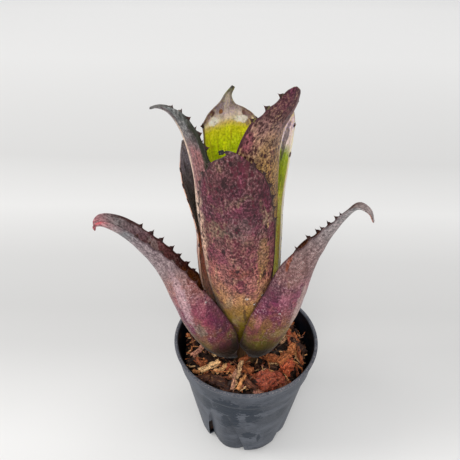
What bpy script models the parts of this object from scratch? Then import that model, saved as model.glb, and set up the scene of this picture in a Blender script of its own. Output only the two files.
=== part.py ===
"""A tube-shaped bromeliad with eight spiny grown leaves and one young leaf, in a small plastic nursery pot.

Millimetres in the tables, metres in the scene. +Z is up and -Y is the front. The origin is at the
middle of the pot's underside. An azimuth is counted from the front, positive towards +X.
"""

import math
import random

import bmesh
import bpy
from mathutils import Matrix, Vector

MM = 0.001
GAP = 0.35
WELD = 0.002

# Pot
RIM_RADIUS = 40.0
POT_HEIGHT = 71.0
BASE_RADIUS = 27.0
WALL = 1.0
LIP_WIDTH = 1.8
LIP_DROP = 1.6
LIP_HEIGHT = 3.0
LIP_STEP = 0.9
LIP_ROUND = 0.5
LIP_SLOPE = 0.3
COLLAR_HEIGHT = 14.0
COLLAR_STEP = 1.3
FLOOR_TOP = 1.6
FOOT_BEVEL = 1.0

# The wall's foot has petals: arched pieces of wall that bulge but stand in from the plain panels between
# them, with a drain slot up each side. Azimuths are at the foot, then at PETAL_TOP.
PETALS = 4
PETAL_TOP = 43.0
PETAL_LEFT = (-49.0, -33.5)
PETAL_RIGHT = (2.6, -13.7)
RISER_DEGREES = 1.2
LEFT_SLOT_TOP = 22.0
RIGHT_SLOT_TOP = 6.5
WALL_HEIGHTS = (RIGHT_SLOT_TOP, 13.0, LEFT_SLOT_TOP, 32.0, PETAL_TOP)
# (piece of wall, share of the way across it, how far in it stands at the foot)
WALL_COLUMNS = (
    ("petal", 0.0, 2.8),
    ("petal", 0.11, 2.4),
    ("petal", 0.24, 1.5),
    ("petal", 0.38, 0.6),
    ("petal", 0.54, 0.0),
    ("petal", 0.70, 0.3),
    ("petal", 0.86, 0.9),
    ("petal", 1.0, 2.4),
    ("panel", 0.0, 0.0),
    ("panel", 0.2, -0.2),
    ("panel", 0.4, -0.3),
    ("panel", 0.6, -0.3),
    ("panel", 0.8, -0.1),
    ("panel", 1.0, 0.0),
)

# Substrate
SOIL_LEVEL = 62.5
SOIL_WELL = 5.5
SOIL_EDGE_DROP = 4.5
SOIL_EDGE_START = 31.0
SOIL_SIDE_TOP = 54.0
SOIL_RINGS = (34.6, 33.0, 30.0, 25.0, 19.0, 13.0)
CHIP_REACH = 34.4
CHIP_RING = (20.5, 32.5)
SOIL_WELL_RADIUS = (12.0, 25.0)
CHIP_COUNT = 80
CHIP_SEED = 11

# Stem and roots
STEM_ROWS = (
    (30.0, 2.5),
    (40.0, 5.0),
    (50.0, 7.5),
    (60.0, 8.6),
    (72.0, 8.5),
    (74.0, 8.2),
    (79.0, 7.4),
    (84.0, 6.6),
    (88.0, 5.6),
    (95.0, 3.6),
    (97.0, 3.0),
)
ROOT_COUNT = 6
ROOT_DEPTH = 20.0
ROOT_SPREAD = 19.0
ROOT_RADIUS = 1.2
ROOT_TIP_RADIUS = 0.6
ROOT_START = 6.0

# Plant
LEAN = -0.045
LEAN_FROM = 60.0
MID_THICKNESS = 1.2
EDGE_THICKNESS = 0.65
ACROSS = 6
SPINE_LENGTH = 2.1
SPINE_BASE = 2.2
SPINE_LEAN = 0.06
BLADE_ROWS = 7
TAIL_ROWS = 4
PLAIN_ROWS = 14

# Each leaf: azimuth, first and last row that carries spines, spine spacing, then rows of
# (distance from the axis, height, sideways, half width, curl, roll). Curl is the half angle of the arc
# that the leaf is bent to across its width, and roll turns the blade about its midrib. Degrees.
LEAVES = {
    "leaf_front": {
        "azimuth": -5.0,
        "spines": (0.66, 0.93, 7.5),
        "rows": (
            (9.2, 74, 0, 8.5, 52, 0),
            (11.2, 84, 0, 10.5, 53, 0),
            (14.9, 100, 0, 14.5, 55, 0),
            (18.3, 118, 0, 17.6, 56, 0),
            (20.2, 140, 0, 19.2, 55, 0),
            (20.8, 158, 0, 19.0, 54, 0),
            (20.8, 171, 0, 17.3, 50, 0),
            (20.6, 179.5, 0, 14.3, 44, 0),
            (20.4, 185.5, 0, 9.2, 34, 0),
            (20.4, 189.2, 0, 4.4, 24, 0),
            (20.6, 191.4, -0.6, 1.3, 16, 0),
            (21.0, 192.2, -2.2, 0.7, 12, 0),
            (21.2, 191.8, -4.4, 0.5, 10, 0),
        ),
    },
    "leaf_upper_right": {
        "azimuth": 36.0,
        "spines": (0.62, 0.95, 8.5),
        "rows": (
            (7.6, 84, 0, 7.0, 52, 0),
            (11.4, 104, 0, 11.0, 54, 0),
            (15.0, 130, 0, 15.0, 56, 0),
            (16.2, 155, 0.4, 15.8, 55, 0),
            (16.4, 172, 0.6, 15.0, 52, 0),
            (16.8, 187, 1.6, 12.8, 46, 0),
            (18.0, 196, 3.6, 10.6, 40, 0),
            (19.8, 202, 6.4, 8.2, 34, 0),
            (21.2, 207, 9.0, 6.0, 28, 0),
            (22.0, 210.5, 10.4, 4.4, 24, 0),
            (22.6, 213, 10.8, 2.8, 18, 0),
            (23.0, 214.4, 11.0, 0.5, 10, 0),
        ),
    },
    "leaf_back": {
        "azimuth": -161.0,
        "spines": (0.70, 0.93, 8.0),
        "rows": (
            (6.6, 88, 0, 6.0, 50, 0),
            (10.0, 108, 0, 9.5, 54, 0),
            (13.4, 135, 0, 13.0, 56, 0),
            (14.2, 160, 0, 13.8, 54, 0),
            (14.6, 178, 0.2, 13.8, 50, 0),
            (15.0, 187, 0.2, 13.8, 46, 0),
            (15.0, 192.5, 0.2, 12.6, 40, 0),
            (14.9, 196.2, 0.2, 8.6, 32, 0),
            (14.8, 199, 0, 3.6, 22, 0),
            (14.6, 202.5, -0.8, 1.4, 14, 0),
            (14.3, 206, -3.2, 0.5, 10, 0),
        ),
    },
    "leaf_upper_left": {
        "azimuth": -85.0,
        "spines": (0.66, 0.92, 7.5),
        "rows": (
            (8.4, 79, -0.5, 7.5, 50, 0),
            (13.0, 97, -1.2, 12.0, 54, 0),
            (17.0, 120, -1.4, 15.2, 54, 0),
            (18.8, 145, -0.8, 16.4, 54, 2),
            (19.2, 165, 0, 16.0, 54, 6),
            (20.0, 179, 0, 15.2, 53, 10),
            (21.6, 188, 0, 13.8, 50, 14),
            (24.2, 196, 0, 10.6, 46, 18),
            (27.8, 201, 0, 5.8, 36, 20),
            (31.2, 202.6, 0, 2.2, 20, 10),
            (34.4, 202.2, 0, 0.5, 10, 0),
        ),
    },
    "leaf_back_left": {
        "azimuth": -112.0,
        "spines": (0.60, 0.93, 7.0),
        "rows": (
            (9.4, 72, 0, 8.0, 46, 0),
            (15.0, 90, 0, 11.4, 47, 0),
            (21.2, 110, 0, 14.4, 47, 0),
            (21.8, 128, 0, 15.0, 45, 0),
            (20.8, 143, 0, 14.8, 42, 0),
            (22.6, 154, 0, 13.2, 38, 0),
            (25.8, 164, 0, 10.4, 34, 0),
            (27.2, 172, 0, 6.8, 28, 0),
            (27.2, 178, 0, 2.8, 18, 0),
            (26.8, 183, 0, 0.5, 10, 0),
        ),
    },
    "leaf_back_right": {
        "azimuth": 128.0,
        "spines": (0.64, 0.93, 7.5),
        "rows": (
            (9.2, 74, 0, 8.0, 50, 0),
            (13.2, 91, 0, 12.5, 52, 0),
            (17.8, 115, 0, 16.2, 53, 0),
            (19.0, 140, 0, 17.2, 53, 0),
            (19.6, 160, 0, 16.4, 50, 0),
            (21.8, 175, 0, 14.2, 44, 0),
            (24.6, 185, 0, 10.8, 36, 0),
            (27.0, 191.5, 0, 6.8, 28, 0),
            (28.4, 196, 0, 2.6, 18, 0),
            (28.8, 199, 0, 0.5, 10, 0),
        ),
    },
    "leaf_lower_left": {
        "azimuth": -75.0,
        "spines": (0.50, 0.86, 6.0),
        "rows": (
            (9.6, 60, 0, 10.4, 61, 0),
            (17.5, 65, 0.4, 23.0, 102, 0),
            (25.5, 74, 1.0, 29.2, 115, 3),
            (31.0, 86, 1.4, 29.4, 116, 7),
            (36.5, 105, 1.0, 24.6, 112, 9),
            (41.0, 124, 0.4, 16.8, 100, 9),
            (47.5, 138.8, 0, 11.2, 88, 6),
            (54.0, 148.6, 0, 8.0, 80, 2),
            (59.0, 153.0, 0, 6.4, 86, 0),
            (62.4, 154.8, 0, 4.8, 86, 0),
            (64.4, 154.4, 0, 2.6, 60, 0),
            (65.2, 152.2, 0, 0.5, 10, 0),
        ),
    },
    "leaf_lower_right": {
        "azimuth": 70.0,
        "spines": (0.55, 0.86, 6.5),
        "rows": (
            (9.6, 62, 0, 11.0, 66, 0),
            (16.0, 68.5, -0.6, 22.6, 102, 0),
            (22.0, 80, -1.4, 26.4, 105, -1),
            (27.4, 96, -1.6, 27.0, 106, -3),
            (32.1, 113, -1.7, 23.5, 105, -5),
            (35.2, 130, -0.6, 18.2, 100, -9),
            (39.2, 143, 0, 11.6, 88, -12),
            (44.2, 154.6, 0, 6.8, 74, -16),
            (48.4, 163.0, 0, 3.6, 60, -16),
            (52.4, 167.6, 0, 2.8, 50, -4),
            (56.6, 166.4, 0, 1.8, 30, 0),
            (58.8, 162.5, 0, 0.5, 10, 0),
        ),
    },
    "leaf_young": {
        "azimuth": 20.0,
        "spines": None,
        "rows": (
            (4.6, 95, 0, 5.0, 60, 0),
            (6.4, 112, 0, 9.0, 80, 0),
            (7.4, 135, 0, 12.5, 95, 0),
            (6.6, 152, 0, 9.0, 85, 0),
            (5.0, 162, 0, 3.5, 50, 0),
            (4.4, 168, 0, 0.6, 10, 0),
        ),
    },
}

COLOURS = {
    "pot": ((0.035, 0.042, 0.052), 0.42),
    "substrate": ((0.26, 0.115, 0.055), 0.85),
    "stem": ((0.16, 0.09, 0.05), 0.7),
    "leaf_front": ((0.17, 0.075, 0.085), 0.5),
    "leaf_upper_right": ((0.30, 0.15, 0.10), 0.5),
    "leaf_back": ((0.33, 0.42, 0.03), 0.45),
    "leaf_upper_left": ((0.24, 0.17, 0.16), 0.5),
    "leaf_back_left": ((0.06, 0.06, 0.055), 0.5),
    "leaf_back_right": ((0.15, 0.27, 0.02), 0.45),
    "leaf_lower_left": ((0.30, 0.15, 0.17), 0.5),
    "leaf_lower_right": ((0.28, 0.15, 0.17), 0.5),
    "leaf_young": ((0.35, 0.42, 0.08), 0.45),
}


def clear_scene():
    for thing in list(bpy.data.objects):
        bpy.data.objects.remove(thing, do_unlink=True)


def add_object(name, points, faces, smooth_angle=35.0):
    """A mesh object from points in millimetres, with faces turned outward and its own material."""
    mesh = bpy.data.meshes.new(name)
    mesh.from_pydata([tuple(c * MM for c in p) for p in points], [], faces)
    shape = bmesh.new()
    shape.from_mesh(mesh)
    bmesh.ops.recalc_face_normals(shape, faces=shape.faces)
    shape.to_mesh(mesh)
    shape.free()
    thing = bpy.data.objects.new(name, mesh)
    bpy.context.scene.collection.objects.link(thing)
    mesh.shade_smooth()
    mesh.set_sharp_from_angle(angle=math.radians(smooth_angle))
    return thing


def paint(thing):
    colour, roughness = COLOURS[thing.name]
    material = bpy.data.materials.new(thing.name)
    material.use_nodes = True
    shader = material.node_tree.nodes["Principled BSDF"]
    shader.inputs["Base Color"].default_value = (*colour, 1.0)
    shader.inputs["Roughness"].default_value = roughness
    shader.inputs["Metallic"].default_value = 0.0
    thing.data.materials.clear()
    thing.data.materials.append(material)
    return thing


def mix(a, b, share):
    return a + (b - a) * share


def smooth_step(low, high, value):
    share = min(1.0, max(0.0, (value - low) / (high - low)))
    return share * share * (3.0 - 2.0 * share)


# Pot


def cone_radius(height):
    """Outside of the plain cone, between the base and the rim."""
    return mix(BASE_RADIUS, RIM_RADIUS - COLLAR_STEP, height / POT_HEIGHT)


def petal_fade(height):
    """How strongly the petals show at this height: fully at the foot, not at all from PETAL_TOP up."""
    return 1.0 - min(height / PETAL_TOP, 1.0) ** 2


def wall_lines():
    """Each upright line of the wall, as (sector, column), in order round the pot."""
    return [(sector, column) for sector in range(PETALS) for column in range(len(WALL_COLUMNS))]


def wall_point(sector, column, height, depth=0.0, out=0.0):
    """A point on the wall's outside, or depth inside it; the step beside a petal keeps its thickness."""
    piece, share, inset = WALL_COLUMNS[column]
    rise = min(height / PETAL_TOP, 1.0)
    left, right = mix(*PETAL_LEFT, rise), mix(*PETAL_RIGHT, rise)
    if piece == "petal":
        degrees = mix(left + RISER_DEGREES, right - RISER_DEGREES, share)
        swing = mix(-1.0, 1.0, share)
    else:
        degrees = mix(right, left + 360.0 / PETALS, share)
        swing = mix(1.0, -1.0, share)
    fade = petal_fade(height)
    radius = cone_radius(height) - inset * fade - depth + out
    angle = math.radians(degrees + sector * 360.0 / PETALS) + swing * fade * depth / radius
    return (radius * math.sin(angle), -radius * math.cos(angle), height)


def pot_column(sector, column):
    """Outer then inner points of one upright line of the pot's wall, base to rim and back down."""
    rim_angle = math.atan2(*wall_point(sector, column, POT_HEIGHT)[:2])
    collar_foot = POT_HEIGHT - COLLAR_HEIGHT

    def ring_point(radius, height):
        return (radius * math.sin(rim_angle), radius * math.cos(rim_angle), height)

    line = [wall_point(sector, column, 0.0, FOOT_BEVEL), wall_point(sector, column, FOOT_BEVEL)]
    line += [wall_point(sector, column, height) for height in WALL_HEIGHTS]
    line.append(wall_point(sector, column, collar_foot - COLLAR_STEP))
    line.append(wall_point(sector, column, collar_foot, out=COLLAR_STEP * 0.7))
    line.append(ring_point(RIM_RADIUS - LIP_STEP, POT_HEIGHT - LIP_HEIGHT))
    line.append(ring_point(RIM_RADIUS, POT_HEIGHT - LIP_ROUND))
    line.append(ring_point(RIM_RADIUS - LIP_ROUND, POT_HEIGHT))
    line.append(ring_point(RIM_RADIUS - LIP_WIDTH + LIP_SLOPE, POT_HEIGHT))
    line.append(ring_point(RIM_RADIUS - LIP_WIDTH - LIP_SLOPE, POT_HEIGHT - LIP_DROP))
    line.append(wall_point(sector, column, collar_foot, WALL))
    line += [wall_point(sector, column, height, WALL) for height in reversed(WALL_HEIGHTS)]
    line.append(wall_point(sector, column, FLOOR_TOP, WALL))
    return line


def slot_top(column):
    """How high the drain slot goes between this line and the next, or None where the wall is closed."""
    piece, share, _ = WALL_COLUMNS[column]
    if share < 1.0:
        return None
    return RIGHT_SLOT_TOP if piece == "petal" else LEFT_SLOT_TOP


def build_pot():
    """One wall with petals and drain slots at its foot, a collar and a lip, on a flat floor."""
    places = wall_lines()
    lines = [pot_column(*place) for place in places]
    points = [p for line in lines for p in line]
    height = len(lines[0])
    count = len(lines)
    slot_foot = 1
    faces = []

    def inner(row):
        """The row of the inner wall behind this outer one."""
        return height - row

    for index in range(count):
        a, b = index * height, (index + 1) % count * height
        top = slot_top(places[index][1])
        slot_head = slot_foot if top is None else 2 + WALL_HEIGHTS.index(top)
        for row in range(height - 1):
            in_slot = slot_foot <= row < slot_head or inner(slot_head) <= row < inner(slot_foot)
            if not in_slot:
                faces.append((a + row, b + row, b + row + 1, a + row + 1))
        if top is None:
            continue
        for row in (slot_foot, slot_head):
            faces.append((a + row, b + row, b + inner(row), a + inner(row)))
        for side in (a, b):
            for row in range(slot_foot, slot_head):
                faces.append((side + row, side + row + 1, side + inner(row + 1), side + inner(row)))
    under = len(points)
    points.append((0.0, 0.0, 0.0))
    points.append((0.0, 0.0, FLOOR_TOP))
    for index in range(count):
        a, b = index * height, (index + 1) % count * height
        faces.append((under, b, a))
        faces.append((under + 1, a + height - 1, b + height - 1))
    return add_object("pot", points, faces)


# Substrate, stem and roots


def soil_top(radius):
    well = SOIL_WELL * (1.0 - smooth_step(SOIL_WELL_RADIUS[0], SOIL_WELL_RADIUS[1], radius))
    edge = SOIL_EDGE_DROP * smooth_step(SOIL_EDGE_START, SOIL_RINGS[0], radius)
    return SOIL_LEVEL - well - edge


def build_soil_body():
    """The potting mix: it fills the pot to its wall and floor, and dips round the stem."""
    heights = (FLOOR_TOP + GAP, *WALL_HEIGHTS, SOIL_SIDE_TOP)
    rings = SOIL_RINGS
    columns = wall_lines()
    points = []
    for sector, column in columns:
        points += [wall_point(sector, column, height, WALL + 2.0 * GAP) for height in heights]
        angle = math.atan2(points[-1][0], -points[-1][1])
        for radius in rings:
            ripple = 0.5 * math.sin(5.0 * angle + radius) + 0.4 * math.sin(9.0 * angle - 0.7 * radius)
            points.append((radius * math.sin(angle), -radius * math.cos(angle), soil_top(radius) + ripple))
    count = len(columns)
    height = len(heights) + len(rings)
    faces = []
    for index in range(count):
        a, b = index * height, (index + 1) % count * height
        for row in range(height - 1):
            faces.append((a + row, b + row, b + row + 1, a + row + 1))
    bottom = len(points)
    points.append((0.0, 0.0, heights[0]))
    points.append((0.0, 0.0, soil_top(0.0)))
    for index in range(count):
        a, b = index * height, (index + 1) % count * height
        faces.append((bottom, b, a))
        faces.append((bottom + 1, a + height - 1, b + height - 1))
    return add_object("substrate", points, faces)


def chip_points(middle, size, turn, tilt, rng):
    """The eight corners of one broken piece of bark: a wedge-ended slab with uneven corners."""
    length, width, depth = size
    points = []
    for x in (-1, 1):
        for y in (-1, 1):
            for z in (-1, 1):
                narrow = mix(0.55, 1.0, rng.random()) if x > 0 else mix(0.75, 1.0, rng.random())
                points.append(
                    Vector(
                        (
                            x * length * mix(0.40, 0.52, rng.random()),
                            y * width * 0.5 * narrow,
                            z * depth * 0.5 * mix(0.6, 1.0, rng.random()),
                        )
                    )
                )
    spin = Matrix.Rotation(turn, 3, "Z") @ Matrix.Rotation(tilt[0], 3, "X") @ Matrix.Rotation(tilt[1], 3, "Y")
    points = [Vector(middle) + spin @ p for p in points]
    for p in points:
        radius = math.hypot(p.x, p.y)
        if radius > CHIP_REACH:
            p.x *= CHIP_REACH / radius
            p.y *= CHIP_REACH / radius
    return points


CHIP_FACES = ((0, 1, 3, 2), (4, 6, 7, 5), (0, 4, 5, 1), (2, 3, 7, 6), (0, 2, 6, 4), (1, 5, 7, 3))


def build_substrate():
    """The potting mix with bark chips bedded in its surface, all one body."""
    soil = build_soil_body()
    rng = random.Random(CHIP_SEED)
    chips = bpy.data.collections.new("chips")
    bpy.context.scene.collection.children.link(chips)
    golden = math.pi * (3.0 - math.sqrt(5.0))
    for index in range(CHIP_COUNT):
        share = (index + 0.5) / CHIP_COUNT
        radius = math.sqrt(mix(CHIP_RING[0] ** 2, CHIP_RING[1] ** 2, share))
        angle = index * golden + rng.uniform(-0.2, 0.2)
        size = (rng.uniform(6.0, 12.0), rng.uniform(3.0, 6.0), rng.uniform(2.0, 3.4))
        height = soil_top(radius) + rng.uniform(0.0, 1.1)
        middle = (radius * math.sin(angle), -radius * math.cos(angle), height)
        tilt = (rng.uniform(-0.45, 0.45), rng.uniform(-0.35, 0.35))
        points = chip_points(middle, size, rng.uniform(0.0, math.tau), tilt, rng)
        chip = add_object("chip_%02d" % index, points, CHIP_FACES)
        bpy.context.scene.collection.objects.unlink(chip)
        chips.objects.link(chip)
    join_by_boolean(soil, chips, "UNION")
    hole = build_stem("stem_hole", GAP)
    join_by_boolean(soil, hole, "DIFFERENCE")
    keep_largest_shell(soil)
    return soil


def keep_largest_shell(thing):
    """Fills pockets that the chips enclosed and drops loose scraps, by keeping only the outer skin."""
    shape = bmesh.new()
    shape.from_mesh(thing.data)
    bmesh.ops.triangulate(shape, faces=shape.faces)
    bmesh.ops.remove_doubles(shape, verts=shape.verts, dist=WELD * MM)
    unseen = set(shape.faces)
    shells = []
    while unseen:
        waiting = [unseen.pop()]
        shell = []
        while waiting:
            face = waiting.pop()
            shell.append(face)
            for edge in face.edges:
                for neighbour in edge.link_faces:
                    if len(edge.link_faces) == 2 and neighbour in unseen:
                        unseen.remove(neighbour)
                        waiting.append(neighbour)
        shells.append(shell)
    shells.sort(key=len)
    for shell in shells[:-1]:
        bmesh.ops.delete(shape, geom=shell, context="FACES")
    shape.to_mesh(thing.data)
    shape.free()


def join_by_boolean(thing, other, operation):
    """Applies one Boolean with an object or a collection, and removes what it used."""
    modifier = thing.modifiers.new("boolean", "BOOLEAN")
    modifier.operation = operation
    modifier.solver = "EXACT"
    if isinstance(other, bpy.types.Collection):
        modifier.operand_type = "COLLECTION"
        modifier.collection = other
        used = list(other.objects)
    else:
        modifier.object = other
        used = [other]
    graph = bpy.context.evaluated_depsgraph_get()
    mesh = bpy.data.meshes.new_from_object(thing.evaluated_get(graph))
    thing.modifiers.clear()
    thing.data = mesh
    for item in used:
        bpy.data.objects.remove(item, do_unlink=True)
    if isinstance(other, bpy.types.Collection):
        bpy.data.collections.remove(other)


def turned_body(name, rows, sides, place=None):
    """A closed body turned round an upright axis, or set where place says."""
    points = []
    for height, radius in rows:
        for side in range(sides):
            angle = math.tau * side / sides
            points.append(Vector((radius * math.cos(angle), radius * math.sin(angle), height)))
    points.append(Vector((0.0, 0.0, rows[0][0])))
    points.append(Vector((0.0, 0.0, rows[-1][0])))
    if place:
        points = [place @ p for p in points]
    faces = []
    for row in range(len(rows) - 1):
        for side in range(sides):
            a = row * sides + side
            b = row * sides + (side + 1) % sides
            faces.append((a, b, b + sides, a + sides))
    low, high = len(points) - 2, len(points) - 1
    top = (len(rows) - 1) * sides
    for side in range(sides):
        after = (side + 1) % sides
        faces.append((low, after, side))
        faces.append((high, top + side, top + after))
    return add_object(name, points, faces)


def build_stem(name, extra):
    """The short stem that carries the leaves, with its main roots; extra makes all of it fatter."""
    foot_height, foot_radius = STEM_ROWS[0]
    rows = [(foot_height - extra, foot_radius + extra)]
    rows += [(height, radius + extra) for height, radius in STEM_ROWS[1:]]
    shear = Matrix(((1.0, 0.0, LEAN, -LEAN * LEAN_FROM), (0, 1, 0, 0), (0, 0, 1, 0), (0, 0, 0, 1)))
    stem = turned_body(name, rows, 20, shear)
    roots = bpy.data.collections.new(name + "_roots")
    bpy.context.scene.collection.children.link(roots)
    start = STEM_ROWS[1][0] + ROOT_START
    for index in range(ROOT_COUNT):
        angle = math.tau * (index + 0.25) / ROOT_COUNT
        head = Vector((0.0, 0.0, start))
        reach = ROOT_SPREAD * (1.0 - 0.18 * (index % 2))
        foot = Vector((reach * math.cos(angle), reach * math.sin(angle), ROOT_DEPTH - 4.0 * (index % 3)))
        along = foot - head
        turn = along.to_track_quat("Z", "Y").to_matrix().to_4x4()
        turn.translation = head
        length = along.length
        profile = (
            (0.0, ROOT_RADIUS + extra),
            (length * 0.6, ROOT_RADIUS * 0.8 + extra),
            (length + extra, ROOT_TIP_RADIUS + extra),
        )
        root = turned_body("%s_root_%d" % (name, index), profile, 6, turn)
        bpy.context.scene.collection.objects.unlink(root)
        roots.objects.link(root)
    join_by_boolean(stem, roots, "UNION")
    return stem


# Leaves


def curve_at(rows, share):
    """A smooth curve through rows, share 0 to 1 by distance along them, with its slope."""
    lengths = [0.0]
    for a, b in zip(rows, rows[1:]):
        lengths.append(lengths[-1] + math.dist(a[:3], b[:3]))
    where = share * lengths[-1]
    index = 0
    while index < len(rows) - 2 and where > lengths[index + 1]:
        index += 1

    def slope(k, axis):
        before, after = max(0, k - 1), min(len(rows) - 1, k + 1)
        return (rows[after][axis] - rows[before][axis]) / (lengths[after] - lengths[before])

    span = lengths[index + 1] - lengths[index]
    t = (where - lengths[index]) / span
    far = 3 * t**2 - 2 * t**3
    values = []
    slopes = []
    for axis in range(len(rows[0])):
        p, q = rows[index][axis], rows[index + 1][axis]
        m, n = slope(index, axis) * span, slope(index + 1, axis) * span
        values.append(mix(p, q, far) + (t**3 - 2 * t**2 + t) * m + (t**3 - t**2) * n)
        slopes.append((6 * (t - t**2) * (q - p) + (3 * t**2 - 4 * t + 1) * m + (3 * t**2 - 2 * t) * n) / span)
    return values, slopes


def leaf_length(rows):
    return sum(math.dist(a[:3], b[:3]) for a, b in zip(rows, rows[1:]))


def leaf_section(leaf, share):
    """Midrib point, directions across, inward and along, half width and curl at this share of the leaf."""
    (out, up, side, half, curl, roll), (out_by, up_by, side_by, *_) = curve_at(leaf["rows"], share)
    azimuth = math.radians(leaf["azimuth"])
    outward = Vector((math.sin(azimuth), -math.cos(azimuth), 0.0))
    sideways = Vector((math.cos(azimuth), math.sin(azimuth), 0.0))
    axis = Vector((LEAN * (up - LEAN_FROM), 0.0, up))
    point = axis + outward * out + sideways * side
    along = (outward * out_by + sideways * side_by + Vector((LEAN * up_by, 0.0, up_by))).normalized()
    across = (sideways - along * sideways.dot(along)).normalized()
    across.rotate(Matrix.Rotation(math.radians(roll), 3, along))
    inward = along.cross(across)
    return point, across, inward, along, max(half, 0.4), math.radians(max(curl, 3.0))


def leaf_point(section, u, lift):
    """The point at u, -1 to 1 across the leaf, lifted off its middle surface towards the plant's axis."""
    point, across, inward, along, half, curl = section
    radius = half / curl
    angle = u * curl
    normal = inward * math.cos(angle) - across * math.sin(angle)
    arc = across * (radius * math.sin(angle)) + inward * (radius * (1.0 - math.cos(angle)))
    return point + arc + normal * lift


def leaf_shares(leaf):
    """The places of the leaf's rows, with a close pair wherever it carries spines."""
    length = leaf_length(leaf["rows"])
    if leaf["spines"] is None:
        return [(k / PLAIN_ROWS, False) for k in range(PLAIN_ROWS + 1)]
    first, last, spacing = leaf["spines"]
    shares = [(first * k / BLADE_ROWS, False) for k in range(BLADE_ROWS)]
    count = int((last - first) * length / spacing)
    for k in range(count + 1):
        middle = mix(first, last, k / count)
        reach = 0.5 * SPINE_BASE / length
        shares.append((middle - reach, True))
        shares.append((middle + reach, False))
    end = shares[-1][0]
    shares += [(mix(end, 1.0, (k + 1) / TAIL_ROWS), False) for k in range(TAIL_ROWS)]
    return shares


def build_leaf(name, leaf):
    shares = leaf_shares(leaf)
    columns = [2.0 * k / ACROSS - 1.0 for k in range(ACROSS + 1)]
    wide = len(columns)
    points = []
    sections = [leaf_section(leaf, share) for share, _ in shares]
    for (share, _), section in zip(shares, sections):
        thin = smooth_step(0.0, 5.0, section[4])
        for sign in (-1.0, 1.0):
            for u in columns:
                thick = mix(MID_THICKNESS, EDGE_THICKNESS, u * u)
                thick = mix(EDGE_THICKNESS, thick, thin)
                points.append(leaf_point(section, u, sign * thick * 0.5))
    rows = len(shares)
    faces = []
    for row in range(rows - 1):
        for k in range(wide - 1):
            for layer in (0, wide):
                a = row * 2 * wide + layer + k
                b = a + 2 * wide
                faces.append((a, a + 1, b + 1))
                faces.append((a, b + 1, b))
    for row in range(rows - 1):
        for k in (0, wide - 1):
            a = row * 2 * wide + k
            b = a + 2 * wide
            rim = (a, b, b + wide, a + wide)
            if shares[row][1]:
                faces += spine_faces(points, rim, sections[row], -1.0 if k == 0 else 1.0)
            else:
                faces.append(rim)
    for row in (0, rows - 1):
        for k in range(wide - 1):
            a = row * 2 * wide + k
            faces.append((a, a + 1, a + 1 + wide, a + wide))
    return add_object(name, points, faces, 50.0)


def spine_faces(points, rim, section, side):
    """Four faces in place of one of the rim's, meeting at the point of a spine that leans towards the tip."""
    _, across, inward, along, _, curl = section
    middle = sum((points[k] for k in rim), Vector()) / 4.0
    outward = across * (side * math.cos(curl)) + inward * math.sin(curl)
    points.append(middle + outward * SPINE_LENGTH + along * (SPINE_LEAN * SPINE_LENGTH))
    tip = len(points) - 1
    return [(rim[k], rim[(k + 1) % 4], tip) for k in range(4)]


def main():
    clear_scene()
    paint(build_pot())
    paint(build_substrate())
    paint(build_stem("stem", 0.0))
    for name, leaf in LEAVES.items():
        paint(build_leaf(name, leaf))


main()
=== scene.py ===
"""Looks, light and camera for the potted bromeliad."""

import math
import random

import bpy
import numpy as np
from mathutils import Matrix, Vector, noise


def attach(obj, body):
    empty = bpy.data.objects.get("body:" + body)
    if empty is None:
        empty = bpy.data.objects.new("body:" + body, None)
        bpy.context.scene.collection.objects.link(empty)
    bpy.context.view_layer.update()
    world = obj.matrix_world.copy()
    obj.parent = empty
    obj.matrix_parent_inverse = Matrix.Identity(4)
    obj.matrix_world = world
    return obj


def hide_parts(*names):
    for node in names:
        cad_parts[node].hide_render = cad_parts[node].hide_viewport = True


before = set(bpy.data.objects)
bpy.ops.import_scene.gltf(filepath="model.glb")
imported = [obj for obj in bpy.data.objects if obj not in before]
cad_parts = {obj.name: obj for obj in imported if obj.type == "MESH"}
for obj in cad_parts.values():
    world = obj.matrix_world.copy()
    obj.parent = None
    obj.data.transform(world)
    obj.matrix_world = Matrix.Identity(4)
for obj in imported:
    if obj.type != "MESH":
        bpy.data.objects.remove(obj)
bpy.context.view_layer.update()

MM = 0.001
BODY = "root"

# Without a seed the vector noise would take its offsets from the clock
NOISE_SEED = 23
noise.seed_set(NOISE_SEED)


# Small helpers


def mix(a, b, share):
    return a + (b - a) * share


def smooth_step(low, high, value):
    share = np.clip((value - low) / (high - low), 0.0, 1.0)
    return share * share * (3.0 - 2.0 * share)


def tint(red, green, blue):
    """A linear colour from the usual 0 to 255 screen values."""
    return tuple(((c / 255.0 + 0.055) / 1.055) ** 2.4 if c > 10 else c / 3294.0 for c in (red, green, blue))


def toned(rows):
    """Stops for a colour ramp from rows of (place, red, green, blue)."""
    return [(place, tint(*tone)) for place, *tone in rows]


def cubic(xs, ys, x):
    """A smooth curve through the points, for arrays, and its rates; ys may have several columns."""
    xs = np.asarray(xs, float)
    ys = np.asarray(ys, float).reshape(len(xs), -1)
    x = np.asarray(x, float)
    last = len(xs) - 1
    before = np.maximum(np.arange(last + 1) - 1, 0)
    after = np.minimum(np.arange(last + 1) + 1, last)
    slopes = (ys[after] - ys[before]) / (xs[after] - xs[before])[:, None]
    index = np.clip(np.searchsorted(xs, x, side="left") - 1, 0, last - 1)
    span = (xs[index + 1] - xs[index])[:, None]
    t = (x - xs[index])[:, None] / span
    p, q = ys[index], ys[index + 1]
    m, n = slopes[index] * span, slopes[index + 1] * span
    values = (2 * t**3 - 3 * t**2 + 1) * p + (t**3 - 2 * t**2 + t) * m
    values += (3 * t**2 - 2 * t**3) * q + (t**3 - t**2) * n
    rates = ((6 * t**2 - 6 * t) * (p - q) + (3 * t**2 - 4 * t + 1) * m + (3 * t**2 - 2 * t) * n) / span
    return values, rates


def fbm(point, octaves):
    return noise.fractal(Vector(point), 0.9, 2.1, octaves)


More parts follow.
